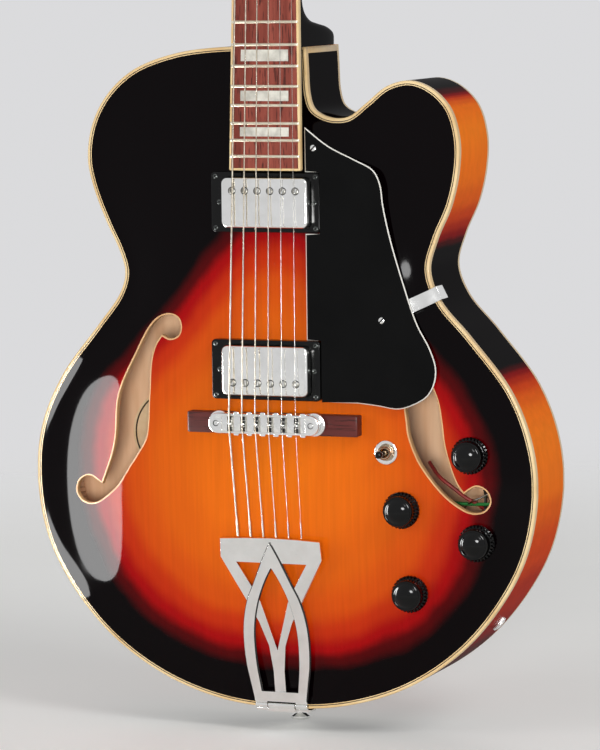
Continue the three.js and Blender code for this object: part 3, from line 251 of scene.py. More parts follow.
def arch(x: Array | float, y: Array | float) -> Array:
    """Height of the arched top over its rim: rise (1 - (1 - way^1.5)^2), way running from the land to the crown.

    Args:
        x: Places across the body, in millimetres.
        y: Places up the body, in millimetres.

    Returns:
        The heights, in the shape of x and y.
    """
    x, y = np.broadcast_arrays(np.asarray(x, float), np.asarray(y, float))
    distance = edge_distance(np.stack([x.ravel(), y.ravel()], 1)).reshape(x.shape)
    way = np.clip((distance - ARCH_LAND) / (ARCH_REACH - ARCH_LAND), 0, 1)
    return ARCH_RISE * (1 - (1 - way ** 1.5) ** 2)


def string_height(y: Array | float) -> Array | float:
    """Height of the strings over the rim, which falls evenly from the saddles to the nut."""
    return SADDLE_HEIGHT - STRING_FALL * (y - BRIDGE_LINE)


def board_top(y: Array | float) -> Array | float:
    """Height of the fingerboard's middle line: the strings less an action that grows towards the body."""
    return string_height(y) - NUT_ACTION - (END_ACTION - NUT_ACTION) * (NUT_LINE - y) / SCALE_LENGTH


def board_half(y: Array | float) -> Array | float:
    """Half the fingerboard's width, which tapers evenly from its end to the nut."""
    return (BOARD_END_WIDTH + (NUT_WIDTH - BOARD_END_WIDTH) * (y - BOARD_END) / (NUT_LINE - BOARD_END)) / 2


def neck_top(y: Array | float) -> Array | float:
    """Height of the neck's glued face under the fingerboard."""
    return board_top(y) - BOARD_THICKNESS - SEAT


def crown_drop(x: Array | float) -> Array | float:
    """Fall of the fingerboard's crown away from its middle line."""
    return np.asarray(x) ** 2 / (2 * BOARD_RADIUS)


def fret_line(number: Array | int) -> Array | float:
    """Place of a fret: each shortens the string by the twelfth root of two."""
    return BRIDGE_LINE + SCALE_LENGTH * 2.0 ** (-np.asarray(number) / 12)


def rounded_rectangle(width: float, length: float, corner: float, centre: tuple[float, float] = (0, 0),
                      steps: int = 8, along: int = 1) -> Array:
    """Rectangle with round corners, anticlockwise from its lower right corner.

    Args:
        width: Size across.
        length: Size up.
        corner: Radius of the corners.
        centre: Its middle.
        steps: Steps round each corner.
        along: Stretches that each straight edge is split into.

    Returns:
        Points (4 (steps + along), 2).
    """
    corner = min(corner, width / 2, length / 2)
    angles = np.linspace(0, math.pi / 2, steps + 1)
    out = []
    for k, (sx, sy) in enumerate(((1, -1), (1, 1), (-1, 1), (-1, -1))):
        turn = angles + (k - 1) * math.pi / 2
        middle = np.array([sx * (width / 2 - corner), sy * (length / 2 - corner)])
        out.append(middle + corner * np.stack([np.cos(turn), np.sin(turn)], 1))
    corners = list(out)
    for k in range(4):
        start, end = corners[k][-1], corners[(k + 1) % 4][0]
        out[k] = np.concatenate([corners[k], start + (end - start) * (np.arange(1, along) / along)[:, None]])
    return np.concatenate(out) + np.asarray(centre)


def rounding(radius: float, steps: int = 4) -> Array:
    """Quarter round as (drawn in, dropped) pairs, from the top face to the side."""
    angle = np.linspace(0, math.pi / 2, steps + 1)
    return np.stack([radius * (1 - np.sin(angle)), radius * (1 - np.cos(angle))], 1)


def round_turn(steps: int) -> Array:
    """Equal angles once round a circle."""
    return np.arange(steps) * 2 * math.pi / steps


def spread(x: Array | float, y: Array | float, z: Array | float) -> Array:
    """Points from coordinates of different shapes, each spread over the others'."""
    return np.stack(np.broadcast_arrays(x, y, z), -1)


def at_height(line: Array, height: Array | float) -> Array:
    """Plan line (n, 2) given its height, one or one for each point."""
    return spread(line[:, 0], line[:, 1], height)


def anticlockwise(edge: Array) -> Array:
    """Closed line run anticlockwise, judged by its signed area."""
    area = np.sum(edge[:, 0] * np.roll(edge[:, 1], -1) - edge[:, 1] * np.roll(edge[:, 0], -1))
    return edge if area > 0 else edge[::-1]


def lathe(profile: Array, steps: int, centre: tuple[float, float] = (0, 0), cut: tuple | None = None) -> Array:
    """Profile of (radius, height) pairs turned round z, as rows round the axis.

    Args:
        profile: Pairs (n, 2).
        steps: Steps round the axis.
        centre: Place of the axis on the plan.
        cut: First row, row past the last, and the factor on their radius at each step, for teeth and knurls.

    Returns:
        Grid (n, steps, 3).
    """
    profile = np.asarray(profile, float)
    radius = np.repeat(profile[:, :1], steps, 1)
    if cut:
        radius[cut[0]:cut[1]] *= cut[2]
    turn = round_turn(steps)
    return spread(centre[0] + radius * np.cos(turn), centre[1] + radius * np.sin(turn), profile[:, 1:])


def sweep(path: Array, radius: Array | float, sides: int) -> Array:
    """Round section carried along a path, kept from twisting by turning each section onto the next.

    Args:
        path: Points (n, 3).
        radius: One radius, or one for each point.
        sides: Sides of the section.

    Returns:
        Grid (n, sides, 3).
    """
    path = np.asarray(path, float)
    way = np.gradient(path, axis=0)
    way /= np.linalg.norm(way, axis=1, keepdims=True)
    side = np.cross(way[0], [0.0, 0.3, 1.0])
    sides_along = []
    for direction in way:
        side = side - direction * (side @ direction)
        side = side / np.linalg.norm(side)
        sides_along.append(side)
    across = np.array(sides_along)
    up = np.cross(way, across)
    turn = round_turn(sides)
    reach = np.broadcast_to(np.reshape(radius, (-1, 1, 1)), (len(path), 1, 1))
    return path[:, None] + reach * (across[:, None] * np.cos(turn)[:, None] + up[:, None] * np.sin(turn)[:, None])


def turned_about_x(points: Array, angle: float, origin: tuple[float, float, float]) -> Array:
    """Points turned about x by an angle, then moved to an origin."""
    c, s = math.cos(angle), math.sin(angle)
    x, y, z = np.moveaxis(np.asarray(points, float), -1, 0)
    return np.stack([x, y * c - z * s, y * s + z * c], -1) + np.asarray(origin)


# Meshes


@dataclass
class Form:
    """Surfaces gathered for one piece, in plan millimetres."""

    points: list[Array] = field(default_factory=list)
    faces: list[list[int]] = field(default_factory=list)
    parts: list[int] = field(default_factory=list)
    marks: list[Array] = field(default_factory=list)
    count: int = 0

    def _take(self, points: Array, marks: Array | None) -> int:
        """Keeps points with their marks and returns the index of the first."""
        flat = np.asarray(points, float).reshape(-1, 3)
        start = self.count
        self.points.append(flat)
        self.marks.append(np.zeros(len(flat)) if marks is None else np.asarray(marks, float).reshape(-1))
        self.count += len(flat)
        return start

    def grid(self, points: Array, wrap: bool = True, loop: bool = False, part: int = 0,
             marks: Array | None = None) -> "Form":
        """Adds a grid of quads.

        Args:
            points: Grid (rows, columns, 3).
            wrap: Whether each row closes on itself.
            loop: Whether the last row joins the first.
            part: Index of the finish.
            marks: Number for each point, which the finish reads.

        Returns:
            The form itself.
        """
        rows, columns = points.shape[:2]
        start = self._take(points, marks)
        index = np.arange(rows * columns).reshape(rows, columns) + start
        if loop:
            index = np.concatenate([index, index[:1]])
        if wrap:
            index = np.concatenate([index, index[:, :1]], 1)
        quads = np.stack([index[:-1, :-1], index[:-1, 1:], index[1:, 1:], index[1:, :-1]], -1).reshape(-1, 4)
        self.faces += quads.tolist()
        self.parts += [part] * len(quads)
        return self

    def cap(self, ring: Array, part: int = 0, marks: Array | None = None) -> "Form":
        """Closes a ring of points (n, 3) with one face."""
        start = self._take(ring, marks)
        self.faces.append(list(range(start, start + len(ring))))
        self.parts.append(part)
        return self

    def capped(self, points: Array, part: int = 0, marks: Array | None = None) -> "Form":
        """Adds a grid that wraps round and is closed at its first and last row."""
        ends = (None, None) if marks is None else (marks[0], marks[-1])
        self.grid(points, part=part, marks=marks)
        return self.cap(points[0], part, ends[0]).cap(points[-1], part, ends[1])

    def slab(self, edge: Array, low: Array | float, high: float, bevel: float, part: int = 0,
             steps: int = 3, mould: float = 0.0) -> "Form":
        """Adds a plate with a round upper edge.

        Args:
            edge: Outline (n, 2), anticlockwise.
            low: Height of its lower face, one or one for each point.
            high: Height of its upper face.
            bevel: Radius of the upper edge.
            part: Index of the finish.
            steps: Steps round the edge.
            mould: Radius of the lower edge.

        Returns:
            The form itself.
        """
        rows = [(inset, low + drop) for inset, drop in rounding(mould, steps)] if mould else [(0.0, low)]
        rows += [(inset, high - drop) for inset, drop in rounding(bevel, steps)[::-1]]
        return self.capped(np.array([at_height(drawn_in(edge, inset), z) for inset, z in rows]), part)

    def prism(self, edge: Array, low: float, high: float, part: int = 0) -> "Form":
        """Adds a plate with sharp edges between two heights."""
        return self.capped(np.array([at_height(edge, z) for z in (low, high)]), part)

    def join(self, other: "Form") -> "Form":
        """Adds another form's surfaces."""
        self.faces += [[index + self.count for index in face] for face in other.faces]
        self.points += other.points
        self.parts += other.parts
        self.marks += other.marks
        self.count += other.count
        return self

    def moved(self, place: Callable[[Array], Array]) -> "Form":
        """Puts every point through a function."""
        self.points = [place(part) for part in self.points]
        return self

    def screw(self, centre: tuple[float, float], top: float, radius: float, slot: float, part: int = 0,
              turn: float = 0.0, cross: bool = False, depth: float = 1.5) -> "Form":
        """Adds a domed screw head whose face dips where it lies within a slot, or a cross of two.

        Args:
            centre: Its place on the plan.
            top: Height of the crown.
            radius: Radius of the head.
            slot: Half width of the slot.
            part: Index of the finish.
            turn: Angle of the slot.
            cross: Whether a second slot crosses it.
            depth: How far the head reaches down.

        Returns:
            The form itself.
        """
        share = np.concatenate([np.linspace(0, 0.9, 10), [0.96, 1.0, 1.0]])
        grid = lathe(np.stack([share * radius, np.zeros(len(share))], 1), 48, centre)
        offset = grid[..., :2] - np.asarray(centre)
        across = -offset[..., 0] * math.sin(turn) + offset[..., 1] * math.cos(turn)
        along = offset[..., 0] * math.cos(turn) + offset[..., 1] * math.sin(turn)
        dip = np.abs(across) < slot
        if cross:
            dip = (dip | (np.abs(along) < slot)) & (np.hypot(across, along) < 0.72 * radius)
        grid[..., 2] = top - 0.22 * radius * share[:, None] ** 3 - dip * 0.35 * radius
        grid[-1, :, 2] = top - depth * radius
        return self.capped(grid, part)

    def mesh(self, name: str, place: bool = True, marked: bool = True) -> bpy.types.Mesh:
        """The form as a mesh with doubled points merged and faces turned outwards.

        Args:
            name: Name of the mesh.
            place: Whether the points are plan points, to be stood up.
            marked: Whether the mesh keeps the marks.

        Returns:
            The mesh.
        """
        points = np.concatenate(self.points)
        made = bpy.data.meshes.new(name)
        made.from_pydata((stand(points) if place else points).tolist(), [], self.faces)
        made.polygons.foreach_set("material_index", self.parts)
        if marked:
            mark_points(made, np.concatenate(self.marks))
        tidy_mesh(made)
        return made

    def piece(self, name: str, finishes: list["Finish"], body: str = "guitar", replaces: tuple[str, ...] = (),
              slot: str = "", sharp: float = 34.0, place: bool = True) -> bpy.types.Object:
        """Makes the mesh object and dresses it.

        Args:
            name: Name of the piece.
            finishes: Its finishes, by part.
            body: The body that it rides on.
            replaces: The solids that it stands for.
            slot: Not used.
            sharp: Angle in degrees above which an edge stays sharp.
            place: Whether the points are plan points, to be stood up.

        Returns:
            The object.
        """
        made = linked(name, self.mesh(name, place))
        dress(made, finishes, sharp)
        return settle(made, body, replaces)


def linked(name: str, data: bpy.types.ID) -> bpy.types.Object:
    """Object of a mesh, lamp or camera, in the scene."""
    made = bpy.data.objects.new(name, data)
    bpy.context.scene.collection.objects.link(made)
    return made


def mesh_points(mesh: bpy.types.Mesh) -> Array:
    """Points of a mesh (n, 3), in metres."""
    points = np.empty(len(mesh.vertices) * 3, np.float32)
    mesh.vertices.foreach_get("co", points)
    return points.reshape(-1, 3)


def turned_axis(node: str) -> tuple[Array, Array]:
    """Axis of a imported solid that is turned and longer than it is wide: the way in which its points spread most.

    Args:
        node: The solid's name.

    Returns:
        The axis's end on the treble side, in metres, and the direction that points out there.
    """
    points = np.unique(mesh_points(frame["nodes"][node].data).astype(float), axis=0)
    middle = points.mean(0)
    axis = np.linalg.svd(points - middle, full_matrices=False)[2][0]
    axis *= np.sign(axis[0])
    return middle + axis * np.max((points - middle) @ axis), axis


def mark_points(mesh: bpy.types.Mesh, values: Array) -> None:
    """Writes a number for each point, which the finishes read as 'mark'."""
    if "mark" in mesh.attributes:
        mesh.attributes.remove(mesh.attributes["mark"])
    mesh.attributes.new("mark", "FLOAT", "POINT").data.foreach_set("value", values.astype(np.float32))


def tidy_mesh(mesh: bpy.types.Mesh) -> None:
    """Merges doubled points, drops collapsed faces and turns the rest outwards."""
    work = bmesh.new()
    work.from_mesh(mesh)
    bmesh.ops.remove_doubles(work, verts=work.verts, dist=2e-7)
    bmesh.ops.dissolve_degenerate(work, edges=work.edges, dist=1e-8)
    bmesh.ops.recalc_face_normals(work, faces=work.faces)
    work.to_mesh(mesh)
    work.free()


def dress(made: bpy.types.Object, finishes: list["Finish"], sharp: float) -> None:
    """Gives an object its finishes and smooth shading that stays sharp above an angle."""
    if made.data.materials:
        made.data.materials.clear()
    for finish in finishes:
        made.data.materials.append(finish.material())
    smooth(made.data, sharp)


def smooth(mesh: bpy.types.Mesh, sharp: float) -> None:
    """Smooth shading that stays sharp above an angle in degrees."""
    mesh.shade_smooth()
    mesh.set_sharp_from_angle(angle=math.radians(sharp))


def settle(made: bpy.types.Object, body: str, replaces: tuple[str, ...]) -> bpy.types.Object:
    """Rides a piece on its body, hides the solids that it stands for and reports it."""
    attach(made, body)
    if replaces:
        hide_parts(*replaces)
    LOG.info("%s rides on %s, %d faces", made.name, body, len(made.data.polygons))
    return made


def combine(made: bpy.types.Object, others: list[bpy.types.Object], operation: str) -> None:
    """Joins closed objects to one, or takes them out of it, and deletes them; new faces keep the others' finishes.

    Args:
        made: The object that is changed.
        others: What it is combined with.
        operation: UNION or DIFFERENCE.
    """
    for other in others:
        change = made.modifiers.new("combine", "BOOLEAN")
        change.operation, change.solver, change.object = operation, "MANIFOLD", other
    held = made.evaluated_get(bpy.context.evaluated_depsgraph_get())
    result, old = bpy.data.meshes.new_from_object(held), made.data
    made.modifiers.clear()
    made.data = result
    result.name = old.name
    bpy.data.meshes.remove(old)
    for other in others:
        bpy.data.objects.remove(other)


def flatten(mesh: bpy.types.Mesh) -> None:
    """Merges doubled points and joins the facets that lie in one plane."""
    work = bmesh.new()
    work.from_mesh(mesh)
    bmesh.ops.remove_doubles(work, verts=work.verts, dist=2e-6)
    bmesh.ops.dissolve_limit(work, angle_limit=math.radians(1.5), verts=work.verts, edges=work.edges)
    for edge in work.edges:
        edge.smooth = True
    work.to_mesh(mesh)
    work.free()


def soften(made: bpy.types.Object, width: float) -> None:
    """Rounds the sharp edges of an object by a width in millimetres."""
    edge = made.modifiers.new("edge", "BEVEL")
    edge.width, edge.segments, edge.use_clamp_overlap = width / 1000, 2, True
    edge.limit_method, edge.angle_limit = "ANGLE", math.radians(32)


def softened_copy(node: str, name: str, finish: "Finish", body: str, bevel: float) -> bpy.types.Object:
    """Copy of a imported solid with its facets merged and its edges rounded.

    Args:
        node: The solid's name.
        name: Name of the new piece.
        finish: Its finish.
        body: The body that it rides on.
        bevel: Width of the rounded edges, in millimetres.

    Returns:
        The object, which replaces the solid.
    """
    mesh = frame["nodes"][node].data.copy()
    mesh.name = name
    flatten(mesh)
    if "custom_normal" in mesh.attributes:
        mesh.attributes.remove(mesh.attributes["custom_normal"])
    made = linked(name, mesh)
    soften(made, bevel)
    dress(made, [finish], 34)
    return settle(made, body, (node,))


# Finishes


def linear(code: str, alpha: float = 1.0) -> tuple[float, float, float, float]:
    """Turns an sRGB hex colour such as #e4be82 into linear values."""
    values = [int(code[i:i + 2], 16) / 255 for i in (1, 3, 5)]
    r, g, b = (v / 12.92 if v <= 0.04045 else ((v + 0.055) / 1.055) ** 2.4 for v in values)
    return (r, g, b, alpha)


def add_node(tree: bpy.types.NodeTree, kind: str, settings: dict | None = None,
             links: dict | None = None) -> bpy.types.Node:
    """Adds a node.

    Args:
        tree: The node tree.
        kind: The node's type.
        settings: Values for its inputs, by name or number, or for its own properties.
        links: Sockets that feed its inputs, by name or number.

    Returns:
        The node.
    """
    made = tree.nodes.new(kind)
    for key, value in (settings or {}).items():
        if isinstance(key, int) or key in made.inputs:
            made.inputs[key].default_value = value
        else:
            setattr(made, key, value)
    for key, socket in (links or {}).items():
        tree.links.new(socket, made.inputs[key])
    return made


def maths(tree: bpy.types.NodeTree, operation: str, *values: bpy.types.NodeSocket | float) -> bpy.types.NodeSocket:
    """Result of an operation on sockets and numbers."""
    numbers = {place: value for place, value in enumerate(values) if isinstance(value, float)}
    sockets = {place: value for place, value in enumerate(values) if place not in numbers}
    return add_node(tree, "ShaderNodeMath", {"operation": operation, **numbers}, sockets).outputs[0]


def remap(tree: bpy.types.NodeTree, value: bpy.types.NodeSocket, source: tuple[float, float],
          target: tuple[float, float] = (0.0, 1.0), curve: str = "LINEAR") -> bpy.types.NodeSocket:
    """Value carried from one range to another and held at its ends.

    Args:
        tree: The node tree.
        value: The socket that is read.
        source: The range of the value.
        target: The range of the result.
        curve: How the result goes from one end to the other.

    Returns:
        The result's socket.
    """
    ends = dict(zip(("From Min", "From Max", "To Min", "To Max"), source + target))
    return add_node(tree, "ShaderNodeMapRange", {"interpolation_type": curve, **ends}, {"Value": value}).outputs[0]


def mark_of(tree: bpy.types.NodeTree) -> bpy.types.NodeSocket:
    """The number that each point of the mesh carries."""
    return add_node(tree, "ShaderNodeAttribute", {"attribute_name": "mark"}).outputs["Fac"]


def for_the_eye(tree: bpy.types.NodeTree, plain: float, seen: float) -> bpy.types.NodeSocket:
    """A strength for background light.

    Args:
        tree: The node tree.
        plain: The strength for light that falls on surfaces.
        seen: The strength for what the camera, mirrors and glass show.

    Returns:
        The socket with plain + (seen - plain) * the largest of the three ray kinds.
    """
    path = add_node(tree, "ShaderNodeLightPath")
    either = maths(tree, "MAXIMUM", path.outputs["Is Camera Ray"], path.outputs["Is Glossy Ray"])
    either = maths(tree, "MAXIMUM", either, path.outputs["Is Transmission Ray"])
    return remap(tree, either, (0.0, 1.0), (plain, seen))


@dataclass(frozen=True)
class Finish:
    """A surface with clouded colour, uneven gloss and a fine relief.

    colour and second are mixed by clouds of cloud_mm; roughness wanders by spread over marks of rub_mm; relief_mm is
    the height of a grit of grit_mm. stretch pulls the clouds and grit out along the frame's axes.
    """

    name: str
    colour: str
    second: str
    cloud_mm: float = 20.0
    roughness: float = 0.3
    spread: float = 0.05
    rub_mm: float = 12.0
    grit_mm: float = 1.2
    relief_mm: float = 0.004
    metallic: float = 0.0
    ior: float = 1.5
    specular: float = 0.5
    coat: float = 0.0
    coat_roughness: float = 0.03
    coat_ior: float = 1.5
    stretch: tuple[float, float, float] = (1.0, 1.0, 1.0)

    def field(self, tree: bpy.types.NodeTree, size_mm: float, detail: float = 3.0) -> bpy.types.NodeSocket:
        """Noise whose blotches are size_mm across, pulled out by the finish's stretch."""
        where = add_node(tree, "ShaderNodeTexCoord")
        pull = tuple(1 / s for s in self.stretch)
        mapped = add_node(tree, "ShaderNodeMapping", {"Scale": pull}, {"Vector": where.outputs["Object"]})
        settings = {"Scale": 1000 / size_mm, "Detail": detail, "Roughness": 0.55}
        return add_node(tree, "ShaderNodeTexNoise", settings, {"Vector": mapped.outputs[0]}).outputs["Fac"]

    def paint(self, tree: bpy.types.NodeTree) -> bpy.types.NodeSocket:
        """The colour: two shades clouded into each other."""
        settings = {"data_type": "RGBA", 6: linear(self.colour), 7: linear(self.second)}
        share = remap(tree, self.field(tree, self.cloud_mm), (0.35, 0.65))
        return add_node(tree, "ShaderNodeMix", settings, {0: share}).outputs[2]

    def relief(self, tree: bpy.types.NodeTree) -> bpy.types.NodeSocket:
        """Height of the fine grit."""
        return self.field(tree, self.grit_mm, 2.0)

    @cache
    def material(self) -> bpy.types.Material:
        """The material, made once."""
        made = bpy.data.materials.new(self.name)
        made.use_nodes = True
        tree = made.node_tree
        shader = tree.nodes["Principled BSDF"]
        values = {"Metallic": self.metallic, "Coat Weight": self.coat, "Coat IOR": self.coat_ior,
                  "Coat Roughness": self.coat_roughness}
        if not self.metallic:
            values |= {"IOR": self.ior, "Specular IOR Level": self.specular}
        for name, value in values.items():
            shader.inputs[name].default_value = value
        rubbed = remap(tree, self.field(tree, self.rub_mm), (0.3, 0.7),
                       (max(self.roughness - self.spread, 0.01), self.roughness + self.spread))
        bump = add_node(tree, "ShaderNodeBump", {"Strength": 1.0, "Distance": self.relief_mm / 1000},
                        {"Height": self.relief(tree)})
        tree.links.new(self.paint(tree), shader.inputs["Base Color"])
        tree.links.new(rubbed, shader.inputs["Roughness"])
        tree.links.new(bump.outputs[0], shader.inputs["Normal"])
        return made


@dataclass(frozen=True)
class SprayedBurst(Finish):
    """Nitrocellulose lacquer over maple: amber in the middle, through cherry to black, placed by the mark.

    drift is how far the mark wavers; streak_mm is the size of the maple's streaks along the frame's axes.
    """

    stops: tuple[tuple[float, str], ...] = ()
    drift: float = 0.035
    streak_mm: tuple[float, float, float] = (2.2, 9.0, 60.0)

    def paint(self, tree: bpy.types.NodeTree) -> bpy.types.NodeSocket:
        """Colours sprayed outwards by the mark, which wavers a little, over faint streaks of the maple."""
        mark = mark_of(tree)
        drift = remap(tree, self.field(tree, self.cloud_mm), (0.0, 1.0), (-self.drift, self.drift))
        ramp = add_node(tree, "ShaderNodeValToRGB", {}, {"Fac": maths(tree, "ADD", mark, drift)})
        ramp.color_ramp.interpolation = "EASE"
        band = ramp.color_ramp.elements
        while len(band) < len(self.stops):
            band.new(0.5)
        for element, (at, code) in zip(band, self.stops):
            element.position = at
            element.color = linear(code)
        where = add_node(tree, "ShaderNodeTexCoord")
        drawn = add_node(tree, "ShaderNodeMapping", {"Scale": tuple(1000 / size for size in self.streak_mm)},
                         {"Vector": where.outputs["Object"]})
        streak = add_node(tree, "ShaderNodeTexNoise", {"Scale": 1.0, "Detail": 4.0}, {"Vector": drawn.outputs[0]})
        shade = remap(tree, streak.outputs["Fac"], (0.3, 0.7), (0.93, 1.04))
        return add_node(tree, "ShaderNodeMix", {"data_type": "RGBA", "blend_type": "MULTIPLY", 0: 1.0},
                        {6: ramp.outputs["Color"], 7: shade}).outputs[2]


@dataclass(frozen=True)
class StudioPaper(Finish):
    """Seamless paper that fades out far from the instrument, where the world's pale background takes over.

    glow is what the paper adds for the eye and for mirrors alone, so that it reads pale without more light.
    """

    glow: float = 0.2
    fade: tuple[float, float] = (0.8, 1.9)

    @cache
    def material(self) -> bpy.types.Material:
        """The paper, mixed with nothing by the distance from the middle of the floor."""
        made = Finish.material(self)
        tree = made.node_tree
        shine = add_node(tree, "ShaderNodeEmission", {"Color": linear(self.colour)},
                         {"Strength": for_the_eye(tree, 0.0, self.glow)})
        lit = add_node(tree, "ShaderNodeAddShader", {}, {0: tree.nodes["Principled BSDF"].outputs[0],
                                                         1: shine.outputs[0]})
        where = add_node(tree, "ShaderNodeTexCoord")
        reach = add_node(tree, "ShaderNodeVectorMath", {"operation": "LENGTH"}, {0: where.outputs["Object"]})
        gone = remap(tree, reach.outputs["Value"], self.fade, curve="SMOOTHSTEP")
        clear = add_node(tree, "ShaderNodeBsdfTransparent")
        mixed = add_node(tree, "ShaderNodeMixShader", {}, {0: gone, 1: lit.outputs[0], 2: clear.outputs[0]})
        tree.links.new(mixed.outputs[0], tree.nodes["Material Output"].inputs["Surface"])
        return made


@dataclass(frozen=True)
class LinedBinding(Finish):
    """Finish with one dark line let in, placed by the mark in millimetres."""

    line: str = "#16100c"
    line_from: float = 2.15
    line_to: float = 2.8

    def paint(self, tree: bpy.types.NodeTree) -> bpy.types.NodeSocket:
        """The finish's colour, with the dark line where the mark lies between its two edges."""
        mark = mark_of(tree)
        inside = maths(tree, "MULTIPLY", maths(tree, "GREATER_THAN", mark, self.line_from),
                       maths(tree, "LESS_THAN", mark, self.line_to))
        return add_node(tree, "ShaderNodeMix", {"data_type": "RGBA", 7: linear(self.line)},
                        {0: inside, 6: Finish.paint(self, tree)}).outputs[2]


@dataclass(frozen=True)
class WoundWire(Finish):
    """Nickel wire wound round a steel core, the turns counted by the mark, which is the length in millimetres."""

    pitch_mm: float = 0.8

    def relief(self, tree: bpy.types.NodeTree) -> bpy.types.NodeSocket:
        """Round turns: the sine of the length over the pitch."""
        return maths(tree, "SINE", maths(tree, "MULTIPLY", mark_of(tree), 2 * math.pi / self.pitch_mm))


@dataclass(frozen=True)
class Rosewood(Finish):
    """Open-pored rosewood: long dark streaks along the grain and fine pores that cut into it."""

    pore: str = "#2b1512"

    def paint(self, tree: bpy.types.NodeTree) -> bpy.types.NodeSocket:
        """Clouded brown, darkened where a fine stretched noise falls low, as pores do."""
        pores = remap(tree, self.field(tree, self.grit_mm, 2.0), (0.36, 0.44), (0.75, 0.0))
        return add_node(tree, "ShaderNodeMix", {"data_type": "RGBA", 7: linear(self.pore)},
                        {0: pores, 6: Finish.paint(self, tree)}).outputs[2]


# Lacquer that reads deep and wet: colour under a clear coat with almost no haze
BURST = SprayedBurst("nitro_sunburst", "#d4691f", "#c85a1c", cloud_mm=45, roughness=0.5, specular=0.0, coat=0.3,
                     coat_roughness=0.05, coat_ior=1.36, grit_mm=9, relief_mm=0.006, stops=(
                         (0.0, "#d76a0f"), (0.3, "#d5630e"), (0.52, "#c9570d"), (0.68, "#c0480c"), (0.78, "#af2b0b"),
                         (0.86, "#940608"), (0.92, "#480204"), (0.985, "#040102")))
# The same lacquer on the bent sides, its colours painted brighter to stand for the light that falls on the sides, and
# coated more thinly
LIT_SIDE_BURST = replace(BURST, name="nitro_sides", coat=0.1, stops=(
    (0.0, "#ff8216"), (0.3, "#fc7812"), (0.52, "#ee6410"), (0.68, "#da460c"), (0.78, "#b82a0a"), (0.86, "#8e0807"),
    (0.92, "#480204"), (0.985, "#040102")))
# Black lacquer: deep, with soft orange peel
BLACK_LACQUER = Finish("nitro_black", "#030202", "#060505", cloud_mm=60, roughness=0.4, specular=0.0, coat=0.12,
                       coat_roughness=0.03, coat_ior=1.36, grit_mm=9, relief_mm=0.006)
# Celluloid binding: aged ivory, faintly waxy
CREAM = LinedBinding("celluloid_cream", "#e2c898", "#d2b07c", cloud_mm=30, roughness=0.34, coat=0.12, ior=1.4,
                     relief_mm=0.003)
# Bare spruce inside the box: pale tan, dry
SPRUCE = Finish("bare_spruce", "#f7cca4", "#e9b88e", cloud_mm=9, roughness=0.75, relief_mm=0.05, grit_mm=1.5,
                stretch=(1, 1, 12))
# Rosewood of the board: dull brown with open pores
BOARD_WOOD = Rosewood("rosewood_board", "#8c473b", "#6d3128", cloud_mm=7, roughness=0.55, specular=0.25,
                      relief_mm=0.05, grit_mm=1.1, stretch=(1, 1, 14))
# Rosewood of the bridge, which runs across the body
BRIDGE_WOOD = Rosewood("rosewood_bridge", "#5b2825", "#4b201d", cloud_mm=7, roughness=0.42, specular=0.25,
                       relief_mm=0.03, grit_mm=1.1, stretch=(14, 1, 1))
# Pearloid blocks: soft grey-white clouds under a polish
PEARL = Finish("pearloid", "#d2cfc4", "#b0ada3", cloud_mm=7, roughness=0.2, relief_mm=0.002)
# Cow bone: off-white, dense
BONE = Finish("bone", "#e9dfc8", "#dccfb2", cloud_mm=8, roughness=0.38, relief_mm=0.01)
# Chromed brass: mirror with faint wiping marks
CHROME = Finish("chromed_brass", "#f3f3f1", "#e9e9e6", cloud_mm=18, roughness=0.11, spread=0.035, rub_mm=7,
                grit_mm=5, relief_mm=0.002, metallic=1.0)
# Nickel-silver fret wire, polished by the strings
FRET_WIRE = Finish("nickel_silver", "#f4ecd8", "#e6dcc4", cloud_mm=5, roughness=0.32, spread=0.06, rub_mm=4,
                   grit_mm=2, relief_mm=0.003, metallic=1.0)
# Nickelled brass of the switch's bushing: greyish, the brass warm beneath, lightly turned
BRASS = Finish("nickelled_brass", "#bda98e", "#8d745c", cloud_mm=4, roughness=0.25, metallic=1.0, relief_mm=0.01)
# Plain steel strings
PLAIN_WIRE = Finish("plain_steel", "#d8d6d0", "#c3bfb5", cloud_mm=6, roughness=0.22, metallic=1.0, relief_mm=0.002)
# Wound strings; the turns are drawn coarser than the real 0.3 mm so that they show
WOUND_WIRE = WoundWire("nickel_winding", "#cfc8ba", "#b2a896", cloud_mm=6, roughness=0.3, metallic=1.0, relief_mm=0.06)
# Moulded phenolic plastic: black, glossy, finely scratched
BLACK_PLASTIC = Finish("moulded_black", "#030303", "#070707", cloud_mm=14, roughness=0.1, spread=0.04, ior=1.31,
                       relief_mm=0.003, grit_mm=3)
# Blackened steel screws of the rings
BLACK_STEEL = Finish("blackened_steel", "#6e716f", "#484b49", cloud_mm=3, roughness=0.28, metallic=1.0,
                     relief_mm=0.004)
# Black vinyl sheet of the pickguard
GUARD_SHEET = Finish("vinyl_black", "#030303", "#060606", cloud_mm=50, roughness=0.14, spread=0.04, ior=1.2,
                     relief_mm=0.003, grit_mm=7)
# White ply between the black ones, seen at the bevelled edge
WHITE_PLY = Finish("vinyl_white", "#e8e6df", "#dcd9d0", cloud_mm=20, roughness=0.3, relief_mm=0.003)
# Matt black for painted shade: the gaps round the pole screws, the floor of the bridge's trough and the strip along the
# tailpiece's ribs
PAINTED_SHADE_BLACK = Finish("black_rubber", "#0a0a0a", "#161616", cloud_mm=4, roughness=0.7, relief_mm=0.02)
# The same celluloid round the f-holes, darker and more amber than the binding round the edge
HOLE_CREAM = Finish("celluloid_amber", "#d2a576", "#c39463", cloud_mm=30, roughness=0.4, ior=1.35, relief_mm=0.006)
# Uncoated paper label
PAPER = LinedBinding("label_paper", "#f0d3ab", "#e6c497", cloud_mm=12, roughness=0.85, relief_mm=0.01,
                     line="#3a2c20", line_from=33.2, line_to=34.4)
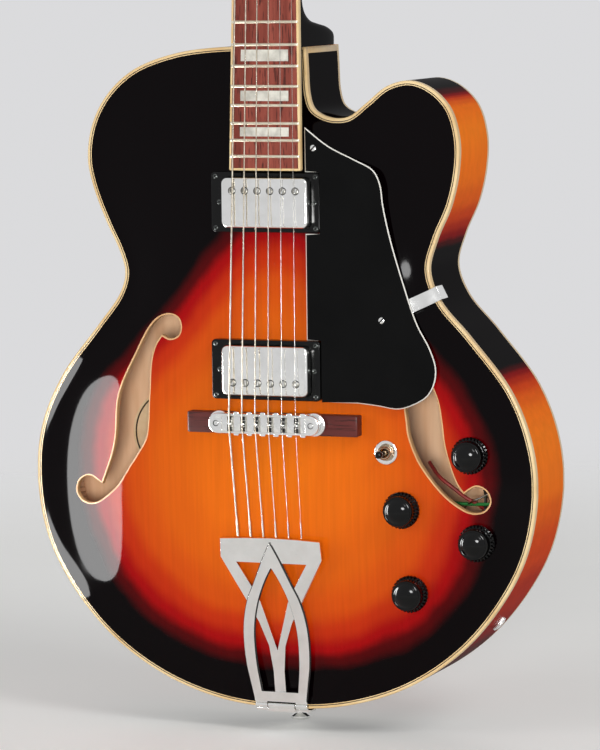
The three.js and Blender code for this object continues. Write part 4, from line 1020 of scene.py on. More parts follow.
# Insulated leads
RED_LEAD = Finish("red_insulation", "#8f2420", "#74211c", cloud_mm=6, roughness=0.5, relief_mm=0.02)
GREEN_LEAD = Finish("green_insulation", "#1f7a35", "#1a6a2c", cloud_mm=6, roughness=0.45, relief_mm=0.02)
# Tinned cans and frames of the controls
TIN = Finish("tinned_steel", "#a5a39c", "#8a887f", cloud_mm=9, roughness=0.38, metallic=1.0, relief_mm=0.02)
# Steel of the truss rod
ROD_STEEL = Finish("mild_steel", "#8b8a86", "#74736e", cloud_mm=9, roughness=0.45, metallic=1.0, relief_mm=0.02)


class Side(Enum):
    """The two sides of the instrument, by the sign of x on the plan."""

    BASS = -1
    TREBLE = 1

    @property
    def label(self) -> str:
        """Its name in lower case."""
        return self.name.lower()


# The body


@dataclass
class SoundBox:
    """Arched plates, bent sides, bindings and what lies inside them."""

    rings: int = 46
    waist_share: float = 0.662
    line_width: float = 3.4
    back_line_width: float = 2.25
    line_lap: float = 0.05
    kerf_steps: int = 1440
    hole_inner: float = 74.3
    hole_span: float = 90.2
    hole_low: float = 151.5
    hole_length: float = 145.6
    hole_line: float = 1.15
    rout: tuple[float, float, float] = (69.2, 38.2, 5.0)
    cutter: tuple[float, float] = (-9.0, 30.0)
    hole_run: tuple = ((0.18, 0.895), (0.233, 0.851), (0.275, 0.777), (0.298, 0.576), (0.327, 0.365), (0.412, 0.273),
                       (0.503, 0.193), (0.598, 0.107), (0.68, 0.06), (0.794, 0.012), (0.869, 0), (0.955, 0.016),
                       (1, 0.062), (0.97, 0.118), (0.875, 0.144), (0.752, 0.104))
    hole_return: tuple = ((0.752, 0.104), (0.654, 0.256), (0.616, 0.356), (0.584, 0.578), (0.418, 0.8), (0.292, 0.935),
                          (0.2, 0.985), (0.101, 1), (0.025, 0.982), (0, 0.938), (0.025, 0.895), (0.101, 0.877),
                          (0.18, 0.895))
    treble_run: tuple = hole_run[:3] + (
        (0.305, 0.62), (0.332, 0.494), (0.352, 0.409), (0.429, 0.288), (0.505, 0.215), (0.591, 0.148), (0.68, 0.093),
        (0.763, 0.055), (0.83, 0.033), (0.888, 0.026), (0.96, 0.036), (1.01, 0.078), (0.985, 0.135), (0.905, 0.16),
        (0.796, 0.122))
    treble_return: tuple = ((0.796, 0.122), (0.742, 0.171), (0.685, 0.263), (0.639, 0.369), (0.612, 0.49),
                            (0.575, 0.6)) + hole_return[4:]
    burst_centre: tuple[float, float] = (0.0, 185.0)
    burst_reach: float = 161.0
    burst_swing: float = 5.0
    burst_swing_angle: float = -20.0
    burst_lobes: tuple = ((90.0, 30.0, 18.0), (133.0, -16.0, 24.0), (40.0, -17.0, 24.0), (270.0, -15.0, 32.0))
    black_at: float = 0.93
    treble_tones: tuple = ((0, 1), (0.1, 0.97), (0.2, 0.9), (0.235, 0.82), (0.28, 0.76), (0.303, 0.7), (0.335, 0.62),
                           (0.357, 0.5), (0.385, 0.2), (0.43, 0.08), (0.447, 0.22), (0.468, 0.52), (0.49, 0.82),
                           (0.505, 1), (0.636, 1), (0.645, 0.91), (0.658, 0.8), (0.68, 0.6), (0.706, 0.36),
                           (0.757, 0.02), (0.78, 0.3), (0.795, 0.88), (0.81, 1), (1, 1))
    bass_tones: tuple = ((0, 1), (0.1, 1), (0.14, 0.88), (0.18, 0.3), (0.23, 0.05), (0.27, 0.4), (0.3, 0.8), (0.33, 1),
                         (0.47, 1), (0.49, 0.82), (0.52, 0.5), (0.56, 0.1), (0.61, 0.2), (0.66, 0.6), (0.7, 0.76),
                         (0.75, 0.85), (0.8, 0.95), (0.86, 1), (1, 1))
    label_place: tuple[float, float] = (-114.8, 196.5)
    label_radius: float = 36.0

    def burst(self, x: Array, y: Array) -> Array:
        """Way out through the sunburst: distance from its middle over a reach that swells and shrinks in lobes.

        Args:
            x: Places across the body.
            y: Places up the body.

        Returns:
            0 in the middle and 1 where the black starts.
        """
        dx, dy = x - self.burst_centre[0], y - self.burst_centre[1]
        turn = np.degrees(np.arctan2(dy, dx))
        reach = self.burst_reach + self.burst_swing * np.cos(np.radians(turn - self.burst_swing_angle))
        for middle, amount, width in self.burst_lobes:
            off = (turn - middle + 180) % 360 - 180
            reach = reach + amount * np.exp(-((off / width) ** 2))
        return self.black_at * np.hypot(dx, dy) / reach

    def hole(self, side: Side) -> Array:
        """Edge of a sound hole, anticlockwise."""
        scale = np.array([self.hole_span, self.hole_length])
        bass = side is Side.BASS
        run = through(np.array(self.hole_run if bass else self.treble_run) * scale, 12)[:-1]
        back = through(np.array(self.hole_return if bass else self.treble_return) * scale, 12)[:-1]
        edge = np.concatenate([run, back]) + [self.hole_inner, self.hole_low]
        return anticlockwise(edge[::-1] * [side.value, 1] if bass else edge)

    def plate_grid(self, inset: float) -> tuple[Array, Array, Array]:
        """Rings drawn in from the edge towards the waist, closer together near the edge."""
        edge = drawn_in(OUTLINE, inset)
        centre = np.array([0.0, BODY_LENGTH * self.waist_share])
        share = 1 - (np.arange(self.rings + 1) / self.rings) ** 1.2
        rings = centre + share[:, None, None] * (edge - centre)
        return rings[..., 0], rings[..., 1], arch(rings[..., 0], rings[..., 1])

    def plate(self, outer: float, inner: float, crown: float, inset: float) -> Form:
        """Arched plate whose outer face has finish 0 and inner face finish 1.

        Args:
            outer: Height of the outer face at the rim.
            inner: Height of the inner face at the rim.
            crown: 1 where it bulges forward and -1 where it bulges back.
            inset: How far its edge is drawn in.

        Returns:
            The form.
        """
        x, y, rise = self.plate_grid(inset)
        faces = [spread(x, y, rim + crown * rise) for rim in (outer, inner)]
        return Form().grid(faces[0]).grid(faces[1], part=1).grid(np.stack([face[0] for face in faces]))

    def paint(self, made: bpy.types.Object) -> None:
        """Marks each point of a plate with its way out through the sunburst."""
        place = mesh_points(made.data) * 1000
        mark_points(made.data, self.burst(place[:, 0], place[:, 2] - END_HEIGHT))

    def build_plates(self) -> None:
        """Top with its openings and the back, both painted."""
        form = self.plate(0.0, -TOP_THICKNESS, 1.0, self.line_width)
        top = linked("arched_top", form.mesh("arched_top", marked=False))
        edges = [drawn_in(self.hole(side), -self.hole_line) for side in Side]
        edges += [rounded_rectangle(*self.rout, (0, line), 4) for line in (Pickup.NECK_LINE, Pickup.BRIDGE_LINE)]
        cutters = [Form().slab(edge, *self.cutter, 0.01, 1, 1).mesh("cutter", marked=False) for edge in edges]
        for mesh in (top.data, *cutters):
            for finish in (BURST, SPRUCE):
                mesh.materials.append(finish.material())
        combine(top, [linked("cutter", mesh) for mesh in cutters], "DIFFERENCE")
        self.paint(top)
        smooth(top.data, 40)
        settle(top, "guitar", ("top_plate",))
        back = self.plate(-RIM_DEPTH, -RIM_DEPTH + BACK_THICKNESS, -1.0, self.back_line_width).piece(
            "arched_back", [BURST, SPRUCE], "guitar", ("back_plate",), "burst_lacquer", 40)
        self.paint(back)

    def build_hole_lines(self) -> None:
        """Cream line let into the edge of each sound hole, as deep as the plate."""
        for side in Side:
            edge = self.hole(side)
            profile = [(0.0, -TOP_THICKNESS), (0.0, -0.25), (-0.25, 0.04), (-self.hole_line, 0.04),
                       (-self.hole_line, -TOP_THICKNESS)]
            rows = []
            for out, drop in profile:
                line = drawn_in(edge, out)
                rows.append(at_height(line, arch(line[:, 0], line[:, 1]) + drop))
            Form().grid(np.array(rows), loop=True).piece(f"{side.label}_hole_binding", [HOLE_CREAM])

    def band(self, path: Array, profile: list[tuple[float, float]], closed: bool, marks: list[float]) -> Form:
        """Section of (inset, height) pairs carried round the body's edge.

        Args:
            path: Points (n, 2) along the edge.
            profile: The section, closed.
            closed: Whether the path is closed.
            marks: Mark of each corner of the section.

        Returns:
            The form.
        """
        grid = np.stack([at_height(drawn_in(path, inset, closed), z) for inset, z in profile], 1)
        number = np.broadcast_to(np.array(marks), grid.shape[:2])
        return Form().grid(grid, loop=True, marks=number) if closed else Form().capped(grid, marks=number)

    def build_bindings(self) -> None:
        """Bindings round both plates: rounded outer edge, and the two inlaid lines on the front one."""
        round_edge = [(1.2 - 1.2 * math.sin(a), 1.2 - 1.2 * math.cos(a)) for a in np.linspace(0, math.pi / 2, 5)]
        wide, back_wide = self.line_width + self.line_lap, self.back_line_width + self.line_lap
        top = [(wide, 0.0), (2.8, 0.02), (2.15, 0.02)] + [(i, -d) for i, d in round_edge] + [
            (0.0, -TOP_THICKNESS), (wide, -TOP_THICKNESS)]
        inset = [p[0] for p in top]
        self.band(OUTLINE, top, True, inset[:-1] + [0.0]).piece(
            "top_edge_binding", [CREAM], "guitar", ("top_binding",), "cream_binding", 50)
        low, high = -RIM_DEPTH, -RIM_DEPTH + BACK_THICKNESS
        back = [(back_wide, high), (0.0, high)] + [(i, low + d) for i, d in round_edge[::-1]] + [(back_wide, low)]
        self.band(OUTLINE, back, True, [0.0] * len(back)).piece(
            "back_edge_binding", [CREAM], "guitar", ("back_binding",), "cream_binding", 50)

    def build_sides(self) -> None:
        """Bent sides, painted from amber at the lower bout to black, and their kerfed linings."""
        low, high = -RIM_DEPTH + BACK_THICKNESS, -TOP_THICKNESS
        for side, path in ((Side.BASS, BASS_HALF), (Side.TREBLE, TREBLE_HALF)):
            wall = [(0.0, high), (0.0, low), (SIDE_THICKNESS, low), (SIDE_THICKNESS, high)]
            tones = np.array(self.bass_tones if side is Side.BASS else self.treble_tones)
            shade = np.interp(np.linspace(0, 1, len(path)), tones[:, 0], tones[:, 1])
            form = self.band(path, wall, False, [0.0] * 4)
            form.marks[0] = np.repeat(shade, 4)
            form.piece(f"{side.label}_side_wall", [LIT_SIDE_BURST], "guitar", (f"{side.label}_side",), "burst_lacquer", 50)
            kerf = evenly(path, self.kerf_steps + 1)
            cut = (np.arange(len(kerf)) % 8) == 0
            for name, rim, foot in (("front", high, -1), ("back", low, 1)):
                section = ((SIDE_THICKNESS + 0.05, 0.0), (9.0, 0.0), (9.0, 3.0), (SIDE_THICKNESS + 1.6, 12.0),
                           (SIDE_THICKNESS + 0.05, 12.0))
                lines = []
                for inset, drop in section:
                    reach = np.where(cut, np.minimum(inset, SIDE_THICKNESS + 1.0), inset)
                    lines.append(at_height(drawn_in(kerf, reach, False), rim + foot * (drop + 0.1)))
                Form().capped(np.stack(lines, 1)).piece(f"{side.label}_{name}_lining", [SPRUCE], sharp=20)
        strip = rounded_rectangle(1.6, high - low, 0.3, (0, (high + low) / 2), 2)
        ends = [spread(JOINT_TREBLE - 0.45 + strip[:, 0], y, strip[:, 1])
                for y in (BODY_LENGTH - 4.8, BODY_LENGTH - 0.1)]
        Form().capped(np.array(ends)).piece("cutaway_end_strip", [CREAM])

    def build_inside(self) -> None:
        """Blocks and bars keep their solids; the label and the leads are added."""
        for node in ("neck_block", "tail_block", "bass_tone_bar", "treble_tone_bar"):
            dress(frame["nodes"][node], [SPRUCE], 30)
        dress(frame["nodes"]["control_harness"], [TIN], 40)
        radius = np.linspace(0, self.label_radius, 25)
        disc = lathe(np.column_stack([radius, radius]), 72, self.label_place)
        x, y, marks = np.moveaxis(disc, -1, 0)
        lies = -RIM_DEPTH + BACK_THICKNESS - arch(x, y)
        faces = [spread(x, y, lies + rise) for rise in (0.25, -0.2)]
        form = Form().grid(faces[0], marks=marks).grid(faces[1], marks=marks)
        form.grid(np.stack([face[-1] for face in faces]), marks=marks[[-1, -1]]).piece("paper_label", [PAPER])
        routes = {"red_lead": (RED_LEAD, 1.4, [(110, 188, -22), (122, 178.5, -11), (132, 171.5, -10), (142, 164, -11),
                                               (151, 158, -16), (158, 146, -28)]),
                  "green_lead": (GREEN_LEAD, 1.3, [(122, 160, -24), (134.8, 158.9, -15), (147.6, 159, -14),
                                                   (160, 159.6, -13.5), (170, 160, -20), (176, 152, -30)]),
                  "grey_lead": (PLAIN_WIRE, 0.7, [(136, 153, -20), (146, 161, -11.5), (154, 164.5, -10.5),
                                                  (162, 169, -11), (172, 176, -18)])}
        for name, (finish, radius, knots) in routes.items():
            Form().capped(sweep(through(knots, 12), radius, 10)).piece(name, [finish])

    def build(self) -> None:
        """Builds every piece of the body."""
        self.build_plates()
        self.build_hole_lines()
        self.build_bindings()
        self.build_sides()
        self.build_inside()


# The neck


@dataclass
class Neck:
    """Set neck with its heel, headstock, bound fingerboard, frets, blocks and nut."""

    heel_reach: float = 45.0
    heel_cap_half: float = 25.6
    extension_draft: float = 6.5
    shaft_depths: tuple[float, float] = (15.5, 18.5)
    heel_shares: tuple = ((0, 1), (0.18, 0.985), (0.29, 0.84), (0.36, 0.58), (0.42, 0.365), (0.58, 0.135),
                          (0.76, 0.02), (1, 0))
    head_length: float = 172.0
    head_half: float = 39.0
    head_thickness: float = 15.0
    head_pitch: float = math.radians(16.2)
    head_shares: tuple = ((0.56, 0), (0.63, 0.07), (0.82, 0.17), (0.93, 0.27), (1, 0.8), (0.93, 0.92), (0.72, 0.975),
                          (0.38, 0.995), (0, 1))
    fret_count: int = 20
    fret_width: float = 2.3
    fret_height: float = 1.1
    edge_width: float = 1.7
    block_frets: tuple[int, ...] = (3, 5, 7, 9, 12, 15, 17, 19)

    @property
    def head_start(self) -> float:
        """Where the headstock's face meets the nut."""
        return NUT_LINE + NUT_LENGTH

    def head_place(self, points: Array) -> Array:
        """Points of the headstock, drawn flat, pitched back behind the nut."""
        return turned_about_x(points, -self.head_pitch, (0, self.head_start, float(neck_top(self.head_start))))

    def shaft_depth(self, y: Array) -> Array:
        """Depth of the neck under its glued face."""
        way = (y - NUT_LINE) / (BODY_LENGTH + self.heel_reach - NUT_LINE)
        return self.shaft_depths[0] + (self.shaft_depths[1] - self.shaft_depths[0]) * way

    def rings(self, y: Array, depth: Array, square: Array, narrowing: Array, steps: int = 40) -> Array:
        """Sections of the neck: half ellipses whose powers square them off into the heel.

        Args:
            y: Places of the sections.
            depth: Their depths.
            square: Power of sine and cosine: 1 is round, 0.5 is nearly square.
            narrowing: How much the back narrows to the heel's cap.
            steps: Steps round the back.

        Returns:
            Grid (len(y), steps + 1 + 7, 3), closed over the flat face.
        """
        angle = np.linspace(0, math.pi, steps + 1)[None]
        y, depth, square, narrowing = (np.asarray(v, float)[:, None] for v in (y, depth, square, narrowing))
        down = np.sin(angle) ** square
        over = np.sign(np.cos(angle)) * np.abs(np.cos(angle)) ** square
        x = board_half(y) * over * (1 - narrowing * down ** 1.6)
        z = neck_top(y) - depth * down
        across = np.linspace(-1, 1, 9)[None, 1:-1] * board_half(y)
        z = np.concatenate([z, np.broadcast_to(neck_top(y), across.shape)], 1)
        return spread(np.concatenate([x, across], 1), y, z)

    def build_shaft(self) -> None:
        """Neck, heel, extension over the top and headstock; the truss rod keeps its solid."""
        heel = through(np.array(self.heel_shares), 8)
        y = BODY_LENGTH + SEAT + heel[:, 0] * self.heel_reach
        share = np.clip(heel[:, 1], 0, 1)
        full = neck_top(y) + RIM_DEPTH
        depth = self.shaft_depth(y) * (1 - share) + full * share
        narrowing = share * (1 - self.heel_cap_half / board_half(y))
        run = np.linspace(BODY_LENGTH + self.heel_reach, self.head_start, 24)[1:]
        zero = np.zeros(len(run))
        grid = self.rings(np.append(y, run), np.append(depth, self.shaft_depth(run)),
                          np.append(1 - 0.68 * share, zero + 1), np.append(narrowing, zero))
        form = Form().capped(grid)
        y = np.linspace(BOARD_END + SEAT, BODY_LENGTH + 2, 12)
        half = board_half(y) - 0.2
        foot = half - self.extension_draft
        low, top = arch(np.stack([-foot, 0 * foot, foot], 1), y[:, None]) - 0.4, neck_top(y)
        section = ((-foot, low[:, 0]), (0, low[:, 1]), (foot, low[:, 2]), (half, top - 1.5), (half, top), (-half, top),
                   (-half, top - 1.5))
        form.capped(np.stack([spread(x, y, z) for x, z in section], 1))
        shape = through(np.array(self.head_shares) * [self.head_half, self.head_length], 8)
        shape = np.concatenate([shape, (shape * [-1, 1])[::-1][1:]])
        form.join(Form().slab(shape, -self.head_thickness, 0.0, 1.2, mould=1.2).moved(self.head_place))
        form.piece("neck_and_head", [BLACK_LACQUER], "guitar", ("neck",), "black_lacquer", 40)
        dress(frame["nodes"]["truss_rod"], [ROD_STEEL], 40)

    def bar(self, y: Array, half: Array | float, top: Array, low: Array) -> Form:
        """Bar across the neck with a shaped top and a flat underside.

        Args:
            y: Places of its sections (n, 1).
            half: Half its width at each.
            top: Heights over the top (n, m), from the bass edge to the treble edge.
            low: Height of the underside at each section (n, 1).

        Returns:
            The form.
        """
        x = np.append(np.linspace(-1, 1, top.shape[1]), [1, -1]) * half
        return Form().capped(spread(np.broadcast_to(x, (len(y), x.shape[-1])), y, np.concatenate([top, low, low], 1)))

    def build_board(self) -> None:
        """Fingerboard with its bound edge, frets with rounded crowns, and the pearloid blocks."""
        y = np.linspace(BOARD_END + self.edge_width, NUT_LINE - SEAT, 30)[:, None]
        half = board_half(y) - self.edge_width
        top = board_top(y) - crown_drop(half * np.linspace(-1, 1, 17))
        self.bar(y, half, top, board_top(y) - BOARD_THICKNESS).piece(
            "fingerboard_wood", [BOARD_WOOD], "guitar", ("fingerboard",), "rosewood", 50)
        self.build_board_edge()
        self.build_frets()
        self.build_blocks()

    def build_board_edge(self) -> None:
        """Binding round the board's two sides and its end, its upper edge rounded."""
        run = np.linspace(NUT_LINE - SEAT, BOARD_END + 1.2, 20)
        end = board_half(BOARD_END)
        left = np.column_stack([-board_half(run), run])
        corner = np.array([[-end + 0.35, BOARD_END + 0.35], [-end + 1.2, BOARD_END]])
        middle = np.column_stack([np.linspace(-end + 4, end - 4, 9), np.full(9, BOARD_END)])
        path = np.concatenate([left, corner, middle, corner[::-1] * [-1, 1], (left * [-1, 1])[::-1]])
        lines = []
        for inset, drop in ((0, BOARD_THICKNESS), (0, 0.6), (0.2, 0.2), (0.6, 0.0), (self.edge_width + 0.05, 0.0),
                            (self.edge_width + 0.05, BOARD_THICKNESS)):
            line = drawn_in(path, inset, False)
            crown = crown_drop(line[:, 0]) if drop < BOARD_THICKNESS else 0
            lines.append(at_height(line, board_top(line[:, 1]) - crown - drop + (0.03 if drop < 1 else 0)))
        Form().capped(np.stack(lines, 1)).piece("fingerboard_binding", [CREAM])

    def build_frets(self) -> None:
        """Frets: a round crown across the board, falling away at both ends."""
        form = Form()
        turn = np.linspace(0, math.pi, 9)
        across = np.concatenate([[-1, -0.985], np.linspace(-0.96, 0.96, 15), [0.985, 1]])
        fall = np.array([0.15, 0.75] + [1.0] * 15 + [0.75, 0.15])
        for line in fret_line(np.arange(1, self.fret_count + 1)):
            half = board_half(line) - 0.5
            x = (across * half)[:, None]
            rise = fall[:, None] * self.fret_height * np.sin(turn)
            ring = spread(x, line + self.fret_width / 2 * np.cos(turn), board_top(line) - crown_drop(x) + rise)
            form.capped(np.concatenate([ring, ring[:, [-1, 0]] - [0, 0, 0.5]], 1))
        form.piece("frets", [FRET_WIRE], sharp=50)

    def build_blocks(self) -> None:
        """Blocks: three quarters of the board wide and half of the fret space long, flush with the crown."""
        form = Form()
        for fret in self.block_frets:
            low, high = fret_line(fret), fret_line(fret - 1)
            middle, reach = (low + high) / 2, (high - low) * 0.27
            y = np.array([[middle - reach], [middle + reach]])
            x = 0.69 * board_half(y) * np.linspace(-1, 1, 13)
            upper = spread(x, y, board_top(y) - crown_drop(x) + 0.06)
            form.capped(np.concatenate([upper, upper[:, ::-1] - [0, 0, 0.6]], 1))
        form.piece("pearloid_blocks", [PEARL], sharp=50)

    def build_nut(self) -> None:
        """Bone nut: crowned top, falling towards the headstock."""
        y = NUT_LINE + np.array([[0], [0.8], [2.5], [NUT_LENGTH - SEAT]])
        fall = np.array([[0.35], [0.0], [0.1], [0.9]])
        top = string_height(NUT_LINE) - crown_drop(np.linspace(-1, 1, 15) * NUT_WIDTH / 2) - 0.7 - fall
        self.bar(y, NUT_WIDTH / 2, top, neck_top(y) + SEAT).piece("bone_nut", [BONE], "guitar", ("nut",), "bone", 40)

    def build(self) -> None:
        """Builds every piece of the neck."""
        self.build_shaft()
        self.build_board()
        self.build_nut()


@dataclass
class Tuners:
    """Six tuners: posts and bushings in front, housings behind, buttons at the sides."""

    neck: Neck
    shares: tuple[float, float, float] = (0.28, 0.53, 0.78)
    inset: float = 14.0
    post_rise: float = 13.0
    housing: tuple[float, float, float] = (15.0, 24.0, 10.0)
    button_reach: float = 20.0
    button_half: float = 9.0

    def places(self) -> list[tuple[Side, int, float, float, float]]:
        """Side, number, x, y and the headstock's edge for each tuner, drawn flat."""
        found = []
        for side in Side:
            for number, share in enumerate(self.shares, 1):
                edge = self.neck.head_half * (0.93 + 0.07 * (share - 0.27) / 0.53)
                found.append((side, number, side.value * (edge - self.inset), share * self.neck.head_length, edge))
        return found

    def build(self) -> None:
        """Builds posts, bushings, housings and buttons."""
        back = -self.neck.head_thickness
        bushings, housings = Form(), Form()
        for side, number, x, y, edge in self.places():
            sign, label = side.value, f"{side.label}_{number}"
            hexagon = 1 - 0.13 * np.abs(np.cos(3 * round_turn(48)))
            ring = [(3.4, 0.0), (6.8, 0.0), (6.8, 0.9), (5.6, 1.2), (5.6, 3.4), (5.0, 3.9), (3.4, 3.9)]
            bushings.grid(lathe(ring, 48, (x, y), (3, 6, hexagon)), loop=True)
            case = rounded_rectangle(self.housing[0], self.housing[1], 2.0, (x + sign, y), 5)
            housings.slab(case, back - self.housing[2], back, 0.2, mould=1.4)
            post = [(0, back - 4.5), (2.9, back - 4.5), (3.0, 4.4), (3.0, 6.0), (2.25, 6.9), (2.2, 8.2), (2.6, 9.6),
                    (3.0, 11.4), (2.8, 12.6), (2.0, self.post_rise), (0, self.post_rise)]
            Form().grid(lathe(post, 40, (x, y))).moved(self.neck.head_place).piece(
                f"post_{label}", [CHROME], f"post_{label}", (f"tuner_post_{label}",), "chrome", 50)
            self.build_button(side, label, x, y, edge, back)
        bushings.moved(self.neck.head_place).piece("tuner_bushings", [CHROME])
        housings.moved(self.neck.head_place).piece("tuner_housings", [CHROME])

    def build_button(self, side: Side, label: str, x: float, y: float, edge: float, back: float) -> None:
        """Stem and rounded paddle of one tuner, drawn along x from the post."""
        grip = edge - abs(x) + self.button_reach * 0.35
        end = edge - abs(x) + self.button_reach
        stem = lathe([(0, 3.9), (1.7, 3.9), (1.8, grip - 3), (2.9, grip - 1.5), (2.9, grip), (1.9, grip + 2),
                      (0, grip + 2)], 24)
        u = np.linspace(0, math.pi, 25)[:, None]
        v = round_turn(40)
        half_length = (end - grip) / 2
        width = self.button_half * np.sin(u) ** 0.55 * (0.86 - 0.14 * np.cos(u))
        paddle = spread(grip + half_length * (1 - np.cos(u)), width * np.cos(v),
                        3.4 * np.sin(u) ** 0.5 * np.sign(np.sin(v)) * np.abs(np.sin(v)) ** 0.8)
        turn = np.array([side.value, side.value, 1.0])
        origin = np.array([x, y - self.housing[1] / 4, back - self.housing[2] / 2])
        form = Form().grid(stem[..., [2, 0, 1]]).grid(paddle)
        form.moved(lambda part: self.neck.head_place(part * turn + origin)).piece(
            f"button_{label}", [CHROME], f"button_{label}", (f"tuner_button_{label}",), "chrome", 50)


# What stands on the top


@dataclass
class Pickup:
    """Covered humbucker in its mounting ring."""

    name: str
    line: float
    top: float
    ring_top: float
    row_side: int
    NECK_LINE = 383.0
    BRIDGE_LINE = 258.6
    width: float = 68.0
    length: float = 37.0
    corner: float = 4.5
    ring_width: float = 86.0
    ring_length: float = 44.6
    ring_offset: float = -2.0
    pole_spread: float = 50.0
    row_offset: float = 8.9

    def build(self) -> None:
        """Builds cover, poles, ring and screws."""
        sizes = [(0.0, self.top - 19)] + [(i, self.top - d) for i, d in rounding(1.9, 5)[::-1]]
        form = Form().capped(np.array([at_height(rounded_rectangle(
            self.width - 2 * i, self.length - 2 * i, self.corner - i * 0.5, (0, self.line), 8, 6), z)
            for i, z in sizes]))
        row = self.line + self.row_side * self.row_offset
        for number, share in enumerate(STRING_SHARES):
            spot = (share * self.pole_spread, row)
            # Each pole screw sits in a black ring a little proud of the cover: painted shade in the gap round the
            # screw.
            form.grid(lathe([(2.1, self.top - 0.4), (2.1, self.top + 0.05), (2.95, self.top + 0.05),
                             (2.95, self.top - 0.4)], 32, spot), loop=True, part=1)
            turn = 1.35 + 0.35 * math.sin(2.3 * number + self.row_side)
            form.screw(spot, self.top + 0.75, 2.4, 0.6, 2, turn, depth=0.6)
        form.piece(f"{self.name}_cover", [CHROME, PAINTED_SHADE_BLACK, TIN], "guitar", (self.name,), "chrome", 45)
        self.build_ring()

    def build_ring(self) -> None:
        """Ring: its foot follows the arch, its rim is rounded; four corner screws and two height screws."""
        def frame_edge(width: float, length: float, corner: float, across: float) -> Array:
            """One closed row of the ring."""
            return rounded_rectangle(width, length, corner, (across, self.line), 5, 10)

        outer = [(frame_edge(self.ring_width - 2 * i, self.ring_length - 2 * i, 3, self.ring_offset), drop)
                 for i, drop in rounding(1.0, 4)[::-1]]
        inner = [(frame_edge(self.width + 0.7 + 2 * i, self.length + 0.7 + 2 * i, 4.8, 0), drop)
                 for i, drop in rounding(0.5, 2)]
        rows = [at_height(edge, self.ring_top - drop) for edge, drop in outer + inner]
        foot, hole = (at_height(edge, arch(edge[:, 0], edge[:, 1]) + 0.05) for edge in (outer[0][0], inner[-1][0]))
        form = Form().grid(np.array([foot, *rows, hole]), loop=True)
        for sx, sy in ((1, 1), (1, -1), (-1, 1), (-1, -1)):
            spot = (self.ring_offset + sx * (self.ring_width / 2 - 3.4), self.line + sy * (self.ring_length / 2 - 3.2))
            form.screw(spot, self.ring_top + 0.35, 1.7, 0.28, 1, 0.6, True, 0.5)
        for sx in (-1, 1):
            x = sx * (self.width / 2 + (5.2 if sx < 0 else 3.2) - 0.6)
            form.screw((x, self.line), self.ring_top + 0.35, 1.8, 0.3, 1, 0.3, False, 0.5)
        form.piece(f"{self.name}_frame", [BLACK_PLASTIC, BLACK_STEEL], "guitar", (f"{self.name}_ring",),
                   "black_plastic", 45)


